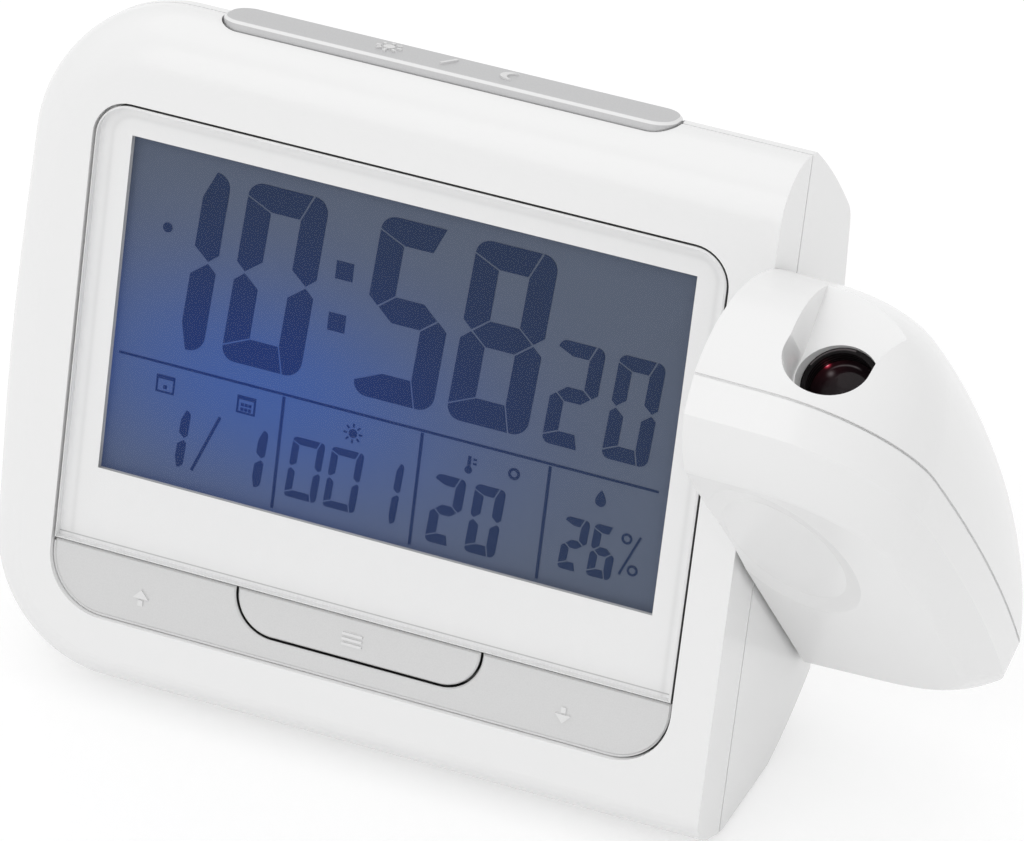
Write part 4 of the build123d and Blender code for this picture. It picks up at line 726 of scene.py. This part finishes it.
def drop(x, u, height, steps=28):
    """A drop: a circle whose width narrows to a point at the top, by the sine of half the turn."""
    turn = np.linspace(0, 2 * pi, steps + 1)[:-1]
    across = 0.42 * height * np.sin(turn) * np.sin(turn / 2)
    return [np.stack((x - across, u + height / 2 * np.cos(turn)), axis=1)]


def crescent(x, u, radius, steps=13):
    """The outer arc of one circle and the inner arc of another, a little smaller, that is set
    to its right by 0.62 of the radius."""
    outer = arc((x, u), radius, 70, 290, 2 * steps)
    inner = arc((x + 0.62 * radius, u), 0.98 * radius, 250, 110, 2 * steps)[1:-1]
    return [outline(outer, inner)]


def prisms(marks, low, high, place):
    """Gives flat outlines a thickness: each is set at two depths, closed by a face at each and
    by a wall of quads between. Returns the corners in metres and the faces."""
    corners, faces, first = [], [], 0
    for points in marks:
        count = len(points)
        near = place(points[:, 0], points[:, 1], low)
        far = place(points[:, 0], points[:, 1], high)
        corners += [near, far]
        here = np.arange(count)
        after = np.roll(here, -1)
        faces.append((first + here).tolist())
        faces.append((first + count + here[::-1]).tolist())
        faces += (first + np.stack((here, count + here, count + after, after), axis=1)).tolist()
        first += 2 * count
    return np.concatenate(corners), faces


def piece(name, corners, faces, body, slot, material):
    """Puts corners and faces into a mesh that rides on a body."""
    mesh = bpy.data.meshes.new(name)
    mesh.from_pydata(corners.tolist(), [], faces)
    mesh.materials.append(material)
    made = bpy.data.objects.new(name, mesh)
    bpy.context.scene.collection.objects.link(made)
    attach(made, body)


INK = lcd_ink()
INK_NEAR, INK_FAR = 3.33, 3.39  # the marks' depth, just before the display's glass


def on_display(name, marks):
    """Puts flat marks before the display's glass."""
    piece(name, *prisms(marks, INK_NEAR, INK_FAR, on_case), "case", "lcd_glass", INK)


BIG = (13.45, 29.5, 4.2)        # width, height and stroke of the digits
SMALL = (7.55, 16.95, 2.3)
DATE = (5.2, 9.5, 1.5)
TIME_FOOT = 55.01               # the feet of the hours and minutes, and of the date
DATE_FOOT = 35.7
COLON_SIZE = 2.9                # the side of each of the colon's two squares
FIELD_LINE = 51.89              # the line above the four lower fields
FIELD_LOW, FIELD_HIGH = 33.1, 51.5      # the ends of the lines between them
SIGN_ROW = 48.5                 # the row of small signs at the fields' tops

on_display("hour_digits", digits("10", (-45.55, -28.97), TIME_FOOT, *BIG))
on_display("minute_digits", digits("58", (-6.58, 9.19), TIME_FOOT, *BIG))
on_display("second_digits", digits("20", (25.15, 35.0), 55.09, *SMALL))
on_display("hour_colon", [bar((x - COLON_SIZE / 2, u), (x + COLON_SIZE / 2, u), COLON_SIZE)
                          for x, u in ((-10.05, 73.95), (-10.4, 65.5))]
           + [disc(-40.1, 73.8, 0.8)])
on_display("field_lines", [bar((-46.05, FIELD_LINE), (45.0, FIELD_LINE), 0.4)]
           + [bar((x, FIELD_LOW), (x, FIELD_HIGH), 0.5) for x in (-17.65, 5.78, 27.15)])
on_display("date_digits", digits("11", (-38.6, -25.3), DATE_FOOT, *DATE)
           + [bar((-31.8, DATE_FOOT), (-27.95, 45.46), 0.5)])
on_display("day_digits", digits("001", (-15.9, -9.3, -2.5), 35.64, 5.4, 10.0, 1.15))
on_display("temperature_digits", digits("20", (8.19, 14.8), 34.43, 5.1, 11.3, 1.6))
on_display("humidity_digits", digits("26", (30.24, 35.0), 35.8, 4.0, 8.6, 1.3))
on_display("percent_sign", [bar((40.3, 37.3), (43.1, 43.95), 0.4)])


def ring(x, u, radius, thick, steps=24):
    """A ring as a grid of four corners around each of its steps, closed both ways."""
    turn = np.linspace(0, 2 * pi, steps + 1)[:-1]
    radii = radius + np.array((-thick, -thick, thick, thick)) / 2
    depths = np.array((INK_NEAR, INK_FAR, INK_FAR, INK_NEAR))
    corners = on_case(x + np.outer(np.cos(turn), radii), u + np.outer(np.sin(turn), radii),
                      np.broadcast_to(depths, (steps, 4)))
    place = np.arange(steps * 4).reshape(steps, 4)
    ahead, across = np.roll(place, -1, axis=0), np.roll(place, -1, axis=1)
    both = np.roll(ahead, -1, axis=1)
    faces = np.stack((place, ahead, both, across), axis=-1).reshape(-1, 4)
    return corners.reshape(-1, 3), faces


def joined(parts):
    """Corners and faces of several shapes as one."""
    firsts = np.cumsum([0] + [len(corners) for corners, faces in parts[:-1]])
    return (np.concatenate([corners for corners, faces in parts]),
            np.concatenate([faces + first for (corners, faces), first
                            in zip(parts, firsts)]).tolist())


piece("small_rings", *joined([ring(21.45, 48.77, 0.75, 0.45), ring(40.9, 43.2, 0.7, 0.4),
                              ring(42.4, 38.35, 0.7, 0.4)]), "case", "lcd_glass", INK)

on_display("date_leaves",
           frame_outline(-37.7, SIGN_ROW, 3.2, 2.9, 0.32)
           + [bar((-38.0, 48.05), (-37.4, 48.05), 0.6)]
           + frame_outline(-23.8, SIGN_ROW, 3.2, 2.9, 0.32)
           + [bar((x - 0.25, u), (x + 0.25, u), 0.5)
              for x in (-24.45, -23.8, -23.15) for u in (47.75, SIGN_ROW)])
on_display("field_signs", sun(-5.6, SIGN_ROW, 0.72, 1.6, 0.3)
           + [disc(13.95, 47.55, 0.62), bar((13.95, 48.2), (13.95, 49.8), 0.55)]
           + [bar((14.6, u), (15.2, u), 0.3) for u in (49.4, 48.7)]
           + drop(35.9, SIGN_ROW, 2.7))


# ------------------------------------------------------------------ raised signs on the keys
SIGN_RISE = 0.25                # how far the signs stand out of a key's face
SIGN_ROOT = 0.05                # and how deep they reach into it
BAR_ROW = 10.7                  # the row of signs along the bar, behind the display's front
MODE_ROW = 16.2                 # the middle of the three bars on the middle key
STRIP_LOW = 9.2                 # the key strip's lower edge, and the rounding of its corners
STRIP_CORNER = 9.0
SKIRT_WIDE = 0.33               # how far the lip stands out of the strip's side
SKIRT_ROOT = 0.1                # and how deep it is set into it
SKIRT_TOP = 19.3                # where it starts at the left
SKIRT_END = 330                 # the angle on the right corner at which it ends
SKIRT_THIN = 0.1                # the share of its width that is left there
SKIRT_NEAR, SKIRT_FAR = 0.25, 1.2       # it lies between these depths behind the keys' faces
SKIRT_STEPS = 13                # points on each corner


def on_bar_top(x, across, depth):
    """Places on the snooze bar: right, behind the display's front, and below the bar's top."""
    return on_case(x, BAR_TOP - depth, across)


def arrow(x, u, way):
    """An arrow head over a short stem, pointing up or down."""
    head = np.array(((x - 1.35, u - 0.1), (x + 1.35, u - 0.1), (x, u + 1.35)))
    stem = bar((x, u - 1.3), (x, u - 0.35), 0.8)
    flip = np.array((1, way))
    turned = [(points - (0, u)) * flip + (0, u) for points in (head, stem)]
    return turned if way > 0 else [points[::-1] for points in turned]


def key_skirt():
    """A thin lip round the key strip's left, lower and part of its right side: a four-cornered
    profile carried down the left, round both corners and along the bottom, growing thinner on
    the second corner, and closed at both ends."""
    first = (STRIP_CORNER - WINDOW_HALF, STRIP_LOW + STRIP_CORNER)
    second = (WINDOW_HALF - STRIP_CORNER, STRIP_LOW + STRIP_CORNER)
    path = outline((-WINDOW_HALF, SKIRT_TOP), arc(first, STRIP_CORNER, 180, 270, SKIRT_STEPS),
                   arc(second, STRIP_CORNER, 270, SKIRT_END, SKIRT_STEPS))
    away = outline((-1, 0), arc((0, 0), 1, 180, 270, SKIRT_STEPS),
                   arc((0, 0), 1, 270, SKIRT_END, SKIRT_STEPS))
    wide = SKIRT_WIDE * np.concatenate((np.ones(1 + SKIRT_STEPS),
                                        np.linspace(1, SKIRT_THIN, SKIRT_STEPS)))
    root = np.full_like(wide, -SKIRT_ROOT)
    out = np.stack((root, wide, wide, root), axis=1)
    depth = KEY_FACE + np.array((SKIRT_NEAR, SKIRT_NEAR, SKIRT_FAR, SKIRT_FAR))
    x = path[:, :1] + away[:, :1] * out
    u = path[:, 1:] + away[:, 1:] * out
    corners = on_case(x, u, np.broadcast_to(depth, x.shape)).reshape(-1, 3)
    place = np.arange(len(path) * 4).reshape(-1, 4)
    across = np.roll(place, -1, axis=1)
    walls = np.stack((place[:-1], across[:-1], across[1:], place[1:]), axis=-1).reshape(-1, 4)
    return corners, walls.tolist() + [place[0, ::-1].tolist(), place[-1].tolist()]


def raised(name, marks, face, place, body):
    """Raised silver signs on a key whose face lies at this depth."""
    piece(name, *prisms(marks, face - SIGN_RISE, face + SIGN_ROOT, place),
          body, "silver_plastic", SILVER_SIGNS_LIT)


piece("key_skirt", *key_skirt(), "up_down_strip", "silver_plastic", SILVER_SKIRT)
raised("up_arrow", arrow(-36.85, 13.7, 1), KEY_FACE, on_case, "up_down_strip")
raised("down_arrow", arrow(35.3, 13.45, -1), KEY_FACE, on_case, "up_down_strip")
raised("mode_bars", [bar((-2.4, MODE_ROW + rise), (1.0, MODE_ROW + rise), 0.42)
                     for rise in (-0.85, 0.0, 0.85)], KEY_FACE, on_case, "mode_button")
raised("snooze_signs", sun(-10.0, BAR_ROW, 0.9, 2.1, 0.45)
       + [bar((-0.7, BAR_ROW - 1.6), (0.7, BAR_ROW + 1.6), 0.5)]
       + crescent(10.3, BAR_ROW, 1.75), 0.0, on_bar_top, "snooze_bar")


# ------------------------------------------------------------------ camera, light and floor
VIEW_TURN = radians(25.0)       # the camera stands this far to the right, and this far up
VIEW_RISE = radians(35.06)
VIEW_DISTANCE = 1.080           # in metres, from the aim on the display
FRAME_WIDTH = 1024              # in pixels, like the focal length and the aim
FOCAL_PIXELS = 7028.8
AIM_LOW = 33.6                  # the aim's height up the display, in millimetres
AIM_RIGHT = 145.6               # the frame's centre is this far right of the aim and above it
AIM_UP = 118.1
FAR_CLIP = 20


def make_camera():
    """The camera, turned so that the aim lies off the frame's centre by AIM_RIGHT and AIM_UP."""
    towards = Vector((sin(VIEW_TURN) * cos(VIEW_RISE), -cos(VIEW_TURN) * cos(VIEW_RISE),
                      sin(VIEW_RISE)))
    right = Vector((cos(VIEW_TURN), sin(VIEW_TURN), 0))
    up = towards.cross(right)
    ahead = (right * AIM_RIGHT + up * AIM_UP) / FOCAL_PIXELS - towards
    ahead.normalize()
    right = (right - ahead * right.dot(ahead)).normalized()
    up = right.cross(ahead)
    camera = bpy.data.objects.new("camera", bpy.data.cameras.new("camera"))
    camera.data.lens = FOCAL_PIXELS * camera.data.sensor_width / FRAME_WIDTH
    camera.data.clip_end = FAR_CLIP
    stand = Vector(on_case(0, AIM_LOW)) + towards * VIEW_DISTANCE
    turn = Matrix((right, up, -ahead)).transposed().to_4x4()
    camera.matrix_world = Matrix.Translation(stand) @ turn
    bpy.context.scene.collection.objects.link(camera)
    bpy.context.scene.camera = camera


def seen_directly(shop):
    """1 for what the camera sees, also in a mirror or through glass."""
    rays = [shop.node("ShaderNodeLightPath", output=kind)
            for kind in ("Is Camera Ray", "Is Glossy Ray", "Is Transmission Ray")]
    return (rays[0] + rays[1] + rays[2]).clip()


FLOOR_GLOW = 0.54               # what the camera sees added to the floor, to bring it near white
FLOOR_FADE = (300.0, 1000.0)    # the floor turns all white between these distances
FLOOR_HALF = 6.0                # half the floor's side, in metres


def pale_floor():
    """A matt white floor that shows a little whiter to the camera, with the shadow kept. Away
    from the object it turns into the white of the room."""
    shop = Shop("pale_floor")
    seen = seen_directly(shop)
    sheet = shop.mix(shop.noise(3.0), (0.86, 0.86, 0.86), (0.88, 0.88, 0.88))
    plain = shop.surface(sheet, 0.9, Specular_IOR_Level=0.0)
    bright = shop.surface((0.5, 0.5, 0.5), 0.9, Specular_IOR_Level=0.0,
                          Emission_Color=(1, 1, 1, 1), Emission_Strength=FLOOR_GLOW)
    x, y = shop.axes((0, 0, 0), RIGHT, Vector((0, 1, 0)))
    away = span(x, y).rise(*FLOOR_FADE)
    white = shop.node("ShaderNodeEmission", {"Color": (1, 1, 1, 1)})
    return shop.finish(shop.blend(seen, plain, shop.blend(away, bright, white)))


def make_floor():
    """One square face under the object."""
    corners = [(x * FLOOR_HALF, y * FLOOR_HALF, 0)
               for x, y in ((-1, -1), (1, -1), (1, 1), (-1, 1))]
    mesh = bpy.data.meshes.new("floor")
    mesh.from_pydata(corners, [], [(0, 1, 2, 3)])
    floor = bpy.data.objects.new("floor", mesh)
    bpy.context.scene.collection.objects.link(floor)
    floor.data.materials.append(pale_floor())


LAMP_AIM = Vector((0, 0, 0.05))     # the middle of the object, in metres


def soft_lamp(name, place, size, power):
    """A round lamp, this wide in metres and this strong in watts, turned to the object."""
    light = bpy.data.lights.new(name, "AREA")
    light.shape = "DISK"
    light.size = size
    light.energy = power
    lamp = bpy.data.objects.new(name, light)
    lamp.location = place
    lamp.rotation_euler = (LAMP_AIM - Vector(place)).to_track_quat("-Z", "Y").to_euler()
    bpy.context.scene.collection.objects.link(lamp)


ROOM_LIGHT = 0.82               # the room's light on the object


def make_room():
    """A white room: its light on the object is a little weaker than the white that shows."""
    world = bpy.data.worlds.new("room")
    world.use_nodes = True
    bpy.context.scene.world = world
    tree = world.node_tree
    path = tree.nodes.new("ShaderNodeLightPath")
    rays = tree.nodes.new("ShaderNodeMath")
    rays.operation = "MAXIMUM"
    tree.links.new(path.outputs["Is Camera Ray"], rays.inputs[0])
    tree.links.new(path.outputs["Is Transmission Ray"], rays.inputs[1])
    level = tree.nodes.new("ShaderNodeMapRange")
    level.inputs["To Min"].default_value = ROOM_LIGHT
    tree.links.new(rays.outputs[0], level.inputs["Value"])
    tree.links.new(level.outputs[0], tree.nodes["Background"].inputs["Strength"])
    tree.nodes["Background"].inputs["Color"].default_value = (1, 1, 1, 1)


make_camera()
make_floor()
make_room()
soft_lamp("front_lamp", (-0.25, -1.25, 1.15), size=1.5, power=4.5)
soft_lamp("top_lamp", (-0.2, 0.5, 1.5), size=2.0, power=3.5)
bpy.context.scene.view_settings.view_transform = "Standard"
